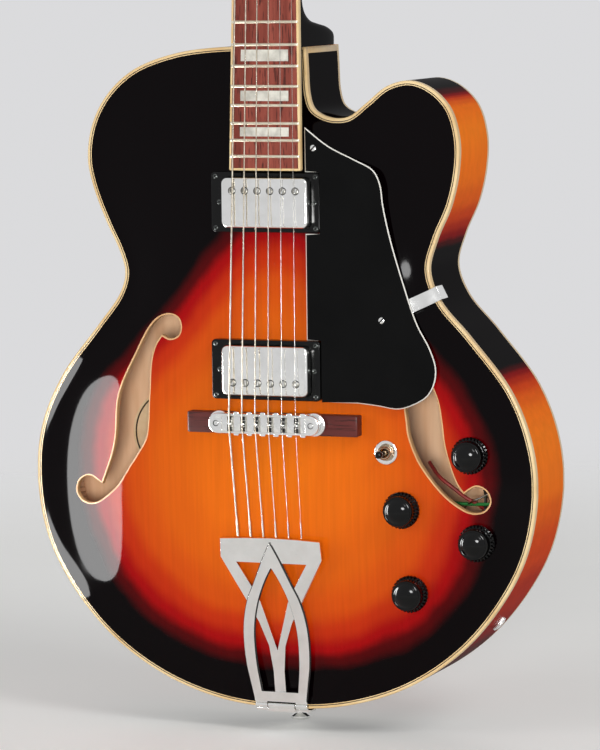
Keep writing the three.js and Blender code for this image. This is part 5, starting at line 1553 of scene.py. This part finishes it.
@dataclass
class Bridge:
    """Floating bridge: rosewood base, studs, thumbwheels, metal body and six saddles."""

    base_width: float = 135.0
    base_length: float = 15.6
    base_top: float = 24.0
    relief: float = 62.0
    width: float = 87.0
    length: float = 15.0
    under: float = 29.2
    height: float = 7.0
    stud: float = 37.5
    wheel_radius: float = 8.6
    wheel_thickness: float = 2.2
    trough: tuple[float, float] = (66.0, 11.2)
    screw_offset: float = 4.95
    cell_half: float = 2.1
    base_shift: float = 2.2

    def build_base(self) -> None:
        """Base: stations along x, each a section with a rounded top whose foot follows the arch or the relief."""
        half = self.base_width / 2
        ends = np.array([0, 0.12, 0.4, 0.9, 1.6])
        x = np.concatenate([-half + ends, np.linspace(-half + 3, half - 3, 61), half - ends[::-1]])
        draw = np.interp(half - np.abs(x), ends, 0.8 * (1 - np.sqrt(np.clip(1 - (1 - ends / 1.6) ** 2, 0, 1))))
        x = x + self.base_shift
        middle = BRIDGE_LINE - self.base_length / 16
        reach = self.base_length / 2 - draw
        relief = np.clip((self.relief / 2 - np.abs(x)) / 4, 0, 1)
        section = []
        for side, drop in ((-1, None), (-1, 0.8), (-1, 0.25), (-1, 0.0), (1, 0.0), (1, 0.25), (1, 0.8), (1, None)):
            inset = 0.0 if drop is None else {0.8: 0.0, 0.25: 0.25, 0.0: 0.8}[drop]
            y = middle + side * (reach - inset)
            if drop is None:
                rise = arch(x, y) + 0.08
                z = rise + relief * (ARCH_RISE + SEAT + 2.5 - rise)
            else:
                z = self.base_top - drop - draw
            section.append(spread(x, y, z))
        form = Form().capped(np.stack(section, 1))
        top, root = self.under + self.height - SEAT, self.base_top - 1
        stud = [(0, root), (2.0, root), (2.0, top - 0.4), (1.7, top), (0.9, top), (0.9, top - 0.9), (0, top - 0.9)]
        for side in Side:
            form.grid(lathe(stud, 32, (side.value * self.stud, BRIDGE_LINE)), part=1)
        form.piece("bridge_foot", [BRIDGE_WOOD, CHROME], "guitar", ("bridge_base",), "rosewood", 40)

    def build_wheels(self) -> None:
        """Thumbwheels: a bored disc whose rim is knurled by teeth."""
        steps = 240
        knurl = 1 - 0.022 * (np.sin(48 * round_turn(steps)) < 0)
        high, low = self.under - SEAT, self.under - SEAT - self.wheel_thickness
        profile = [(2.3, low), (self.wheel_radius - 0.7, low), (self.wheel_radius, low + 0.5),
                   (self.wheel_radius, high - 0.5), (self.wheel_radius - 0.7, high), (2.3, high)]
        for side in Side:
            grid = lathe(profile, steps, (side.value * self.stud, BRIDGE_LINE), (2, 4, knurl))
            Form().grid(grid, loop=True).piece(f"{side.label}_knurled_wheel", [CHROME], f"{side.label}_wheel",
                                               (f"{side.label}_thumbwheel",), "chrome", 40)

    def build_body(self) -> None:
        """Body: round-ended bar with a trough whose floor is black for painted shade, two stud bores with collars, and
        screw bosses along both edges.
        """
        top = self.under + self.height
        inner = np.array([*self.trough, 1.0])
        outer = np.array([self.width, self.length, self.length * 0.45])
        sizes = [(outer - [1, 1, 0.5], self.under), (outer, self.under + 0.5), (outer, top - 1.2)]
        sizes += [(outer - np.array([2, 2, 1]) * i, top - d) for i, d in rounding(1.1, 4)[::-1]]
        sizes += [(inner + [0.6, 0.6, 0.2], top), (inner, top - 0.3), (inner, self.under + 2.25)]
        rows = [at_height(rounded_rectangle(*size, (0, BRIDGE_LINE), 8, 8), z) for size, z in sizes]
        # The trough's floor takes the second finish, matt black: painted shade in the cells between the saddles.
        form = Form().grid(np.array(rows)).cap(rows[0]).cap(rows[-1], 1)
        for x in STRING_SHARES * SPREAD_BRIDGE + self.screw_offset:
            for sign in (-1, 1):
                face = (x, BRIDGE_LINE + sign * (self.length / 2 - 0.1))
                form.slab(rounded_rectangle(4.3, 3.0, 1.1, face, 4), self.under + 1.2, top - 0.15, 0.5, mould=0.5)
        firsts = STRING_SHARES * SPREAD_BRIDGE + self.cell_half
        lasts = np.append(firsts[1:] - 2 * self.cell_half, self.trough[0] / 2 + 0.2)
        for left, right in [(-self.trough[0] / 2 - 0.2, firsts[0] - 2 * self.cell_half), *zip(firsts, lasts)]:
            wall = rounded_rectangle(right - left, self.trough[1] + 0.4, 0.5, ((left + right) / 2, BRIDGE_LINE), 3)
            form.slab(wall, self.under + 1.0, top - 0.55, 0.35)
        made = form.piece("bridge_bar", [CHROME, PAINTED_SHADE_BLACK], "bridge", ("bridge_body",), "chrome", 45)
        bore = [(0, self.under - 2), (2.3, self.under - 2), (2.3, top + 2), (0, top + 2)]
        cutters = [Form().grid(lathe(bore, 32, (side.value * self.stud, BRIDGE_LINE))).mesh("cutter", marked=False)
                   for side in Side]
        for mesh in cutters:
            mesh.materials.append(CHROME.material())
        parent, made.parent = made.parent, None
        combine(made, [linked("cutter", mesh) for mesh in cutters], "DIFFERENCE")
        made.parent = parent
        smooth(made.data, 45)

    def build_saddles(self) -> None:
        """Saddles: a ridge on a low shoulder, beside its screw, with a slot where the string lies."""
        floor = self.under + 2.2 + SEAT
        for number, share in enumerate(STRING_SHARES, 1):
            x = share * SPREAD_BRIDGE
            crest = SADDLE_HEIGHT - crown_drop(x) - STRING_RADII[number - 1] - 0.5
            half = 2.4
            profile = [(-half, floor), (half, floor), (half, floor + 2.0), (half - 0.3, floor + 2.2),
                       (0.35, crest - 0.1), (0.0, crest), (-0.35, crest - 0.1), (-half + 0.3, floor + 2.2),
                       (-half, floor + 2.0)]
            reach = np.array([-1.9, -1.75, -0.7, -0.35, 0, 0.35, 0.7, 1.75, 1.9])
            dip = np.array([0.15, 0, 0, 0.22, 0.3, 0.22, 0, 0, 0.15])
            y, z = np.array(profile).T
            fall = dip[:, None] * (z > floor + 2.1)
            Form().capped(spread(x + reach[:, None], BRIDGE_LINE + y, z - fall)).piece(
                f"saddle_block_{number}", [CHROME], f"saddle_{number}", (f"saddle_{number}",), "chrome", 30)

    def build_screws(self) -> None:
        """Threaded screws that carry the saddles along the trough, one beside each ridge."""
        form = Form()
        radius = 0.98 + 0.14 * np.sin(np.linspace(0, 20 * math.pi, 90))
        for x in STRING_SHARES * SPREAD_BRIDGE + self.cell_half + 0.2:
            form.capped(sweep(spread(x, BRIDGE_LINE + np.linspace(-5.5, 5.5, 90), self.under + 6.0), radius, 12))
        form.piece("saddle_screws", [TIN], "bridge", sharp=60)

    def build(self) -> None:
        """Builds every piece of the bridge."""
        self.build_base()
        self.build_wheels()
        self.build_body()
        self.build_saddles()
        self.build_screws()


@dataclass
class Tailpiece:
    """Hinged lattice tailpiece, its bracket, and the strap buttons."""

    hinge: tuple[float, float] = (2.8, 3.4)
    half: float = 40.2
    bar_top: float = 132.4
    foot: float = 1.0
    sheet: float = 2.2
    rib_proud: float = 1.4
    stay_outer: tuple = ((1, 0.893), (0.535, 0.634), (0.323, 0.511), (0.162, 0.374), (0.107, 0.221), (0.107, 0.06))
    stay_inner: tuple = ((0.697, 0.866), (0.423, 0.721), (0.274, 0.634), (0.124, 0.481), (0.001, 0.347))
    rib_outer: tuple = ((0.002, 0.985), (0.187, 0.87), (0.373, 0.74), (0.51, 0.649), (0.609, 0.527), (0.642, 0.412),
                        (0.622, 0.26), (0.547, 0.122), (0.515, 0.06))
    rib_inner: tuple = ((0.002, 0.844), (0.149, 0.763), (0.299, 0.653), (0.403, 0.527), (0.44, 0.412), (0.428, 0.26),
                        (0.386, 0.145), (0.35, 0.06))

    @property
    def pitch(self) -> float:
        """Angle at which it lies in line with the strings."""
        return math.atan2(SADDLE_HEIGHT - self.hinge[1], BRIDGE_LINE - self.hinge[0])

    def flat(self, shares: Array) -> Array:
        """Shares of the half outline as flat points from the hinge."""
        return np.asarray(shares, float) * [self.half, self.bar_top] + [0, self.foot - self.hinge[0]]

    def edge(self, outer: Array, inner: Array, sign: int) -> Array:
        """Anticlockwise outline between an outer and an inner line, on one side."""
        return anticlockwise(np.concatenate([outer, inner[::-1]]) * [sign, 1])

    def build_frame(self) -> None:
        """Frame: straight stays in one plane and the pointed ribs proud of them, every edge rounded; a black strip of
        painted shadow edges the ribs.
        """
        low, high = -self.sheet / 2, self.sheet / 2
        proud = high + self.rib_proud
        inner, side = self.stay_inner[0], self.stay_outer[0]
        bar = self.flat([(-inner[0], inner[1]), (0.0, inner[1]), (inner[0], inner[1]), (1, side[1]), (0.985, 1),
                         (0.5, 1.008), (0, 1.012), (-0.5, 1.008), (-0.985, 1), (-1, side[1])])
        solids, shade = [Form().prism(bar, low - high / 2, high)], Form()
        join = np.array([[0.0, self.bar_top * 0.012]])
        for sign in (-1, 1):
            outer, line = self.flat(self.stay_outer), self.flat(self.stay_inner)
            outer = np.concatenate([outer[:1] + join, outer, outer[-1:] * [-0.2, 1]])
            stay = self.edge(outer, np.concatenate([line[:1] + join, line, line[-1:] * [-1, 1]]), sign)
            solids.append(Form().prism(stay, low + 0.01, high))
            outer, line = through(self.flat(self.rib_outer), 6), through(self.flat(self.rib_inner), 6)
            outer[0, 0], line[0, 0] = -0.4, -0.4
            rib = self.edge(outer, line, sign)
            solids.append(Form().prism(rib, low + 0.02, proud))
            # A black strip 0.75 mm wider than each rib, just under its top: painted shadow along the ribs' edges.
            shade.prism(drawn_in(rib, -0.75), high - 0.4, high + 0.12 + 0.01 * sign)
        reach = self.rib_outer[8][0] * self.half
        base_low, base_high = 6.5 - self.hinge[0], 14.3 - self.hinge[0]
        solids.append(Form().prism(rounded_rectangle(2 * reach + 0.1, base_high - base_low, 0.8,
                                                     (0, (base_low + base_high) / 2), 3), low + 0.03, proud))
        stem = self.stay_outer[5][0] * self.half
        stem_top = self.foot + self.stay_inner[4][1] * self.bar_top - self.hinge[0]
        solids.append(Form().prism(rounded_rectangle(2 * stem + 0.04, stem_top - base_high + 6, 0.4,
                                                     (0, (stem_top + base_high - 6) / 2), 2), low + 0.04, high))
        for sign in (-1, 1):
            width = reach - 11.4
            leg = rounded_rectangle(width, base_low + 0.6, 0.3, (sign * (11.4 + width / 2), base_low / 2), 2)
            solids.append(Form().prism(leg, low + 0.05, high))
            barrel = lathe([(1.5, 0), (2.2, 0), (2.4, 0.2), (2.4, width - 0.2), (2.2, width), (1.5, width)], 28)
            barrel = spread(sign * (11.4 + barrel[..., 2]), barrel[..., 0], barrel[..., 1])
            solids.append(Form().grid(barrel, loop=True))
        for form in [*solids, shade]:
            form.moved(lambda part: turned_about_x(part, self.pitch, (0, *self.hinge)))
        shade.piece("rib_shadow_gap", [PAINTED_SHADE_BLACK], "tailpiece")
        made, *others = [linked("lattice_frame", form.mesh("lattice_frame", marked=False)) for form in solids]
        combine(made, others, "UNION")
        flatten(made.data)
        soften(made, 0.4)
        dress(made, [CHROME], 34)
        settle(made, "tailpiece", ("tailpiece_frame",))

    def button(self, name: str, place: Callable[[Array], Array], node: str) -> None:
        """Strap button: waisted, its outer face sunk for the screw.

        Args:
            name: Name of the piece.
            place: Puts points drawn round z onto the body.
            node: The solid that it stands for.
        """
        profile = [(0, -18), (2.2, -18), (2.2, 0), (6.6, 0), (6.9, 0.5), (5.2, 2.6), (4.5, 5.0), (4.6, 7.2), (5.6, 8.8),
                   (7.2, 9.8), (7.4, 10.8), (7.1, 11.6), (6.3, 12.0), (3.6, 12.0), (2.2, 11.0), (0, 11.0)]
        Form().grid(lathe(profile, 56)).moved(place).piece(name, [CHROME], "guitar", (node,), "chrome", 45)

    def build(self) -> None:
        """Builds frame, bracket and buttons."""
        self.build_frame()
        softened_copy("tailpiece_bracket", "hinge_bracket", CHROME, "guitar", 0.35)
        seat = -2 * SEAT - 1.6
        self.button("tail_button", lambda p: p[..., [0, 2, 1]] * [1, -1, 1] + [0, seat, -RIM_DEPTH / 2], "end_button")
        heel = [0, BODY_LENGTH + 7.2, -RIM_DEPTH - SEAT]
        self.button("neck_button", lambda p: p * [1, -1, -1] + heel, "heel_button")


@dataclass
class Pickguard:
    """Laminated pickguard with its bevelled edge, screws and metal stay."""

    left: float = 30.0
    span: float = 98.5
    low: float = 231.6
    high: float = 438.8
    height: float = 23.0
    tilt: float = math.radians(3.6)
    thickness: float = 2.6
    notch: float = 0.45
    screws: tuple[tuple[float, float], ...] = ((36.9, 423.5), (87.7, 297.1))
    foot_top: float = 20.5
    shares: tuple = ((0, 1), (0.185, 0.933), (0.393, 0.884), (0.528, 0.849), (0.582, 0.8), (0.605, 0.723),
                     (0.658, 0.607), (0.751, 0.455), (0.859, 0.304), (0.953, 0.22), (0.999, 0.153), (0.991, 0.1),
                     (0.934, 0.049), (0.813, 0.014), (0.701, 0), (0.548, 0.01), (0.356, 0.02))

    def outline(self) -> Array:
        """Its edge, anticlockwise, with the notches for the two mounting rings."""
        length = self.high - self.low
        edge = through(np.array(self.shares) * [self.span, length] + [self.left, self.low], 5)
        ring_edge = Pickup.ring_offset + Pickup.ring_width / 2 + self.notch
        half = Pickup.ring_length / 2 + self.notch
        bridge, neck = Pickup.BRIDGE_LINE + half, Pickup.NECK_LINE + half
        notches = [(ring_edge, edge[-1, 1]), (ring_edge, bridge), (self.left, bridge), (self.left, neck - 2 * half),
                   (ring_edge, neck - 2 * half), (ring_edge, neck), (self.left, neck)]
        return np.concatenate([edge[:-1], notches])[::-1]

    def at(self, points: Array) -> Array:
        """Flat points laid at the guard's height and tilt."""
        x, y, z = np.moveaxis(points, -1, 0)
        c, s = math.cos(self.tilt), math.sin(self.tilt)
        return spread(self.left + (x - self.left) * c + z * s, y,
                      self.height - self.thickness - (x - self.left) * s + z * c)

    def build(self) -> None:
        """Sheet in plies: black, white, black, cut on a slant so that the white one shows as a line."""
        edge = self.outline()
        beside_rings = [1, 2, 5, 6]
        slant = np.ones(len(edge))
        slant[beside_rings] = 0
        plies = ((0.0, 0.0, 0.9, 0.0, 0), (0.9, 0.0, 1.7, 0.75, 1), (1.7, 0.75, 2.6, 1.3, 0))
        form = Form()
        for low, inset_low, high, inset_high, part in plies:
            rows = [at_height(drawn_in(edge, inset * slant), z) for inset, z in ((inset_low, low), (inset_high, high))]
            form.capped(np.array(rows), part)
        form.moved(self.at)
        for spot in self.screws:
            top = float(self.at(np.array([*spot, self.thickness]))[2])
            form.screw(spot, top + 0.5, 2.3, 0.4, 2, 0.8, False, 0.5)
        foot = arch(*self.screws[0]) + 0.1
        form.grid(lathe([(0, foot), (4, foot), (4, self.foot_top), (0, self.foot_top)], 28, self.screws[0]))
        form.piece("laminated_guard", [GUARD_SHEET, WHITE_PLY, CHROME], "guitar", ("pickguard",), "black_plastic", 20)
        softened_copy("pickguard_stay", "guard_stay", CHROME, "guitar", 0.25)


@dataclass
class Controls:
    """Knobs, selector switch and output jack."""

    knob_radius: float = 13.7
    knobs: tuple[str, ...] = ("neck_volume", "neck_tone", "bridge_volume", "bridge_tone")

    def seat_over(self, x: float, y: float, radius: float) -> float:
        """Highest point of the arch under a disc."""
        rim = lathe([(0, 0), (radius, 0)], 12, (x, y))
        return float(np.max(arch(rim[..., 0], rim[..., 1])))

    def build_knobs(self) -> None:
        """Knobs: a base ring cut into square teeth, a neck, and a domed cap with a raised rim."""
        steps = 240
        teeth = np.where(np.sin(30 * round_turn(steps) + 0.2) < -0.1, 0.872, 1.0)
        for name in self.knobs:
            x, y = plan_middle(f"{name}_knob")
            z = self.seat_over(x, y, self.knob_radius) + 1.0
            profile = [(0, 0), (13.2, 0), (13.7, 0.4), (13.7, 4.3), (13.4, 4.8), (11.9, 4.9), (11.6, 5.0), (11.5, 5.4),
                       (11.45, 9.8), (11.35, 11.0), (10.9, 11.6), (10.2, 11.7), (9.75, 11.45), (9.3, 11.6),
                       (8.3, 12.55), (6.9, 13.5), (5.2, 14.3), (3.4, 14.8), (1.6, 14.97), (0, 15.0)]
            shaft = [(0, z - 12), (2.6, z - 12), (2.6, z + 1), (0, z + 1)]
            form = Form().grid(lathe(np.array(profile) + [0, z], steps, (x, y), (2, 5, teeth)))
            form.grid(lathe(shaft, 24, (x, y)), part=1).piece(
                f"{name}_cap", [BLACK_PLASTIC, TIN], name, (f"{name}_knob",), "black_plastic", 38)

    def build_switch(self) -> None:
        """Switch: chromed washer, turned brass nut and bushing, and a lever with a black tip."""
        x, y = spot = plan_middle("switch_body")
        seat = np.array([0, self.seat_over(x, y, 7.6) + SEAT])
        flutes = 1 - 0.03 * (np.cos(36 * round_turn(120)) > 0.3)
        washer = [(3.6, -0.25), (8.7, -0.25), (8.9, 0), (8.6, 0.35), (7.2, 0.65), (6.9, 0.5), (3.6, 0.6)]
        nut = [(3.6, 0.6), (5.8, 0.6), (5.8, 2.4), (5.2, 2.8), (4.9, 2.8), (4.7, 4.0), (4.3, 4.4), (3.6, 4.4)]
        tube = [(3.6, -14), (5.0, -14), (5.0, -0.3), (3.6, -0.3)]
        form = Form().grid(lathe(washer + seat, 72, spot), loop=True)
        form.grid(lathe(nut + seat, 120, spot, (1, 3, flutes)), loop=True, part=1)
        form.grid(lathe(tube + seat, 40, spot), loop=True, part=1)
        form.prism(rounded_rectangle(8, 16, 1, spot, 3), -17.0, 1.5, 2)
        form.piece("selector_bushing", [CHROME, BRASS, TIN], "guitar", ("switch_body",), "chrome", 40)
        pivot = seat + [0, 1.1]
        stem = [(0, -5), (1.1, -5), (1.1, -3), (2.6, -2), (3.2, 0), (2.6, 2), (1.15, 3), (1.1, 8.2)]
        tip = [(1.1, 7.4), (2.0, 7.6), (2.35, 9.4), (2.65, 12.6), (2.7, 14.6), (2.4, 16.2), (1.5, 16.9), (0, 17)]
        form = Form().grid(lathe(stem + pivot, 28, spot)).grid(lathe(tip + pivot, 36, spot), part=1)
        form.piece("selector_lever", [BRASS, BLACK_PLASTIC], "lever", ("switch_lever",), "black_plastic", 45)

    def build_jack(self) -> None:
        """Jack: washer, knurled nut and threaded sleeve round its bore, on the axis of its solid."""
        profile = [(3.3, -28.6), (7.05, -28.6), (7.05, -8.1), (4.7, -8.1), (4.7, -4.3), (8.0, -4.3), (8.0, -3.8),
                   (7.4, -3.6), (6.3, -3.6), (6.3, -0.9), (5.9, -0.6), (4.7, -0.6), (4.7, -0.2), (4.4, 0.0), (3.5, 0.0),
                   (3.3, -0.3)]
        flutes = 1 - 0.035 * (np.cos(30 * round_turn(120)) > 0.2)
        grid = lathe(profile, 120, cut=(8, 11, flutes))
        mouth, axis = turned_axis("output_jack")
        axes = np.array([np.cross(axis, [0, 1, 0]), [0, 1, 0], axis])
        Form().grid(grid @ axes / 1000 + mouth, loop=True).piece(
            "jack_socket", [CHROME], "guitar", ("output_jack",), "chrome", 45, place=False)

    def build(self) -> None:
        """Builds knobs, switch and jack."""
        self.build_knobs()
        self.build_switch()
        self.build_jack()


@dataclass
class Strings:
    """Six strings from the tailpiece over saddles and nut to their posts, and the turns on the posts."""

    tuners: Tuners
    wound: int = 4
    post_height: float = 0.57
    turns: float = 2.6

    def build(self) -> None:
        """Builds each string, thick where it is twisted round its ball, and its turns round the post."""
        tail = Tailpiece()
        reach = (tail.foot + tail.bar_top * 1.012 - tail.hinge[0] + 2 * SEAT) * math.cos(tail.pitch)
        order = {0: 0, 1: 1, 2: 2, 3: 5, 4: 4, 5: 3}
        places = self.tuners.places()
        neck = self.tuners.neck
        for index in range(6):
            radius, share = STRING_RADII[index], STRING_SHARES[index]
            start = (share * SPREAD_TAIL, tail.hinge[0] + reach, tail.hinge[1] + reach * math.tan(tail.pitch))
            over, at_nut = share * SPREAD_BRIDGE, share * SPREAD_NUT
            saddle = (over, BRIDGE_LINE, string_height(BRIDGE_LINE) - crown_drop(over) - 0.1)
            nut = (at_nut, NUT_LINE, string_height(NUT_LINE) - crown_drop(at_nut))
            lift = (at_nut, NUT_LINE + NUT_LENGTH / 2, nut[2] - radius / 4)
            side, number, x, y, _ = places[order[index]]
            inward = x - side.value * (2.4 + radius + SEAT)
            post = neck.head_place(np.array([inward, y, self.tuners.post_rise * self.post_height]))
            knots = [start, saddle, nut, lift, post]
            parts = [np.linspace(a, b, count)[:-1] for a, b, count in zip(knots, knots[1:], (60, 200, 4, 30))]
            path = np.concatenate([*parts, [post]])
            run = np.concatenate([[0], np.cumsum(np.linalg.norm(np.diff(path, axis=0), axis=1))])
            thick = radius + 0.3 * np.clip((13 - run) / 1.5, 0, 1)
            grid = sweep(path, thick, 12)
            marks = np.broadcast_to(run[:, None], grid.shape[:2])
            finish = WOUND_WIRE if index < self.wound else PLAIN_WIRE
            Form().capped(grid, marks=marks).piece(f"string_wire_{index + 1}", [finish], "guitar",
                                                   (f"string_{index + 1}",), "string_steel", 60)
            self.build_turns(side, number, x, y, radius, finish)

    def build_turns(self, side: Side, number: int, x: float, y: float, radius: float, finish: Finish) -> None:
        """Turns of string round a post: a helix of the string's pitch at the post's waist."""
        angle = np.linspace(0, self.turns * 2 * math.pi, 90)
        reach = 2.25 + radius
        height = self.tuners.post_rise * self.post_height - angle / math.pi * radius
        spin = -side.value * angle + (0.0 if side is Side.BASS else math.pi)
        helix = spread(x + reach * np.cos(spin), y + reach * np.sin(spin), height)
        Form().capped(sweep(helix, radius, 10)).moved(self.tuners.neck.head_place).piece(
            f"turns_{side.label}_{number}", [finish], f"post_{side.label}_{number}", sharp=60)


# The studio


@dataclass
class Studio:
    """Camera of the photograph, soft lamps, and a pale floor that fades into a pale world."""

    turn: float = math.radians(20.68)
    rise: float = math.radians(6.15)
    roll: float = math.radians(-0.69)
    distance: float = 2.97293
    lens: float = 191.454
    target: tuple[float, float, float] = (0.016213, -0.036, 0.267278)
    floor_height: float = -0.004

    def axes(self) -> tuple[Array, Array, Array]:
        """Directions to the camera's right, its top and its back."""
        ct, st, cp, sp = math.cos(self.turn), math.sin(self.turn), math.cos(self.rise), math.sin(self.rise)
        back = np.array([st * cp, -ct * cp, sp])
        level = np.array([ct, st, 0.0])
        above = np.cross(level, -back)
        right = math.cos(self.roll) * level + math.sin(self.roll) * above
        return right, -math.sin(self.roll) * level + math.cos(self.roll) * above, back

    def pose(self, right: Array, up: Array, back: Array, place: Array) -> Matrix:
        """Matrix that looks along -back from a place."""
        return Matrix([*np.column_stack([right, up, back, place]).tolist(), [0, 0, 0, 1]])

    def build_camera(self) -> None:
        """Camera that sees what the photograph shows."""
        right, up, back = self.axes()
        data = bpy.data.cameras.new("view")
        data.lens = self.lens
        data.sensor_width = 36.0
        made = linked("view", data)
        made.matrix_world = self.pose(right, up, back, np.array(self.target) + back * self.distance)
        bpy.context.scene.camera = made

    def lamp(self, name: str, place: tuple[float, float, float], size: tuple[float, float], power: float,
             seen: bool = True, lights: bool = True, aim: tuple[float, float, float] = (0.0, -0.02, 0.3)) -> None:
        """Soft box that faces the instrument.

        Args:
            name: Name of the lamp.
            place: Where it stands, in metres.
            size: Its width and height.
            power: Its power in watts.
            seen: Whether glossy surfaces mirror it.
            lights: Whether it lights matt surfaces.
            aim: The point that it faces.
        """
        data = bpy.data.lights.new(name, "AREA")
        data.shape = "RECTANGLE" if lights else "ELLIPSE"
        data.size, data.size_y = size
        data.energy = power
        made = linked(name, data)
        made.visible_glossy, made.visible_diffuse, made.visible_camera = seen, lights, False
        away = np.array(place) - np.array(aim)
        away /= np.linalg.norm(away)
        side = np.cross([0.0, 0.0, 1.0], away)
        side /= np.linalg.norm(side)
        made.matrix_world = self.pose(side, np.cross(away, side), away, place)

    def build_floor(self) -> None:
        """Pale floor, four metres round the instrument."""
        x = np.linspace(-4, 4, 9)
        grid = spread(x, x[:, None], self.floor_height)
        mesh = bpy.data.meshes.new("floor")
        mesh.from_pydata(grid.reshape(-1, 3).tolist(), [], Form().grid(grid, wrap=False).faces)
        floor = linked("floor", mesh)
        mesh.materials.append(StudioPaper("seamless_paper", "#e4e4e2", "#e1e1df", cloud_mm=400, roughness=0.9,
                                          specular=0.1, relief_mm=0.0).material())

    def build(self) -> None:
        """Sets up camera, lamps, world, floor and colour view."""
        self.build_camera()
        self.lamp("key", (2.1, -1.4, 2.3), (1.1, 1.1), 28)
        self.lamp("fill", (-2.4, -1.9, 0.9), (1.2, 1.5), 29, False)
        self.lamp("front", (0.93, -2.95, 0.45), (0.5, 0.4), 62, False)
        self.lamp("back", (-1.2, 2.6, 1.6), (1.4, 1.4), 22, False)
        self.lamp("card", (-0.1985, -0.103, 0.1725), (0.058, 0.197), 0.965, True, False, (-0.14, -0.0692, 0.1725))
        self.lamp("glint", (0.301, -0.483, 0.311), (0.17, 0.12), 1.9, True, False, (0.135, -0.05, 0.124))
        world = bpy.data.worlds.new("studio")
        bpy.context.scene.world = world
        world.use_nodes = True
        background = world.node_tree.nodes["Background"]
        background.inputs["Color"].default_value = linear("#fdfdff")
        world.node_tree.links.new(for_the_eye(world.node_tree, 0.26, 0.72), background.inputs["Strength"])
        bpy.context.scene.view_settings.view_transform = "Standard"
        self.build_floor()


def main() -> None:
    """Builds the studio and the instrument, piece by piece."""
    logging.basicConfig(level=logging.INFO, format="%(message)s")
    Studio().build()
    SoundBox().build()
    neck = Neck()
    neck.build()
    tuners = Tuners(neck)
    tuners.build()
    for pickup in (Pickup("neck_pickup", Pickup.NECK_LINE, 29.0, 20.5, 1),
                   Pickup("bridge_pickup", Pickup.BRIDGE_LINE, 32.5, 24.0, -1)):
        pickup.build()
    Bridge().build()
    Tailpiece().build()
    Pickguard().build()
    Controls().build()
    Strings(tuners).build()


if __name__ == "__main__":
    main()
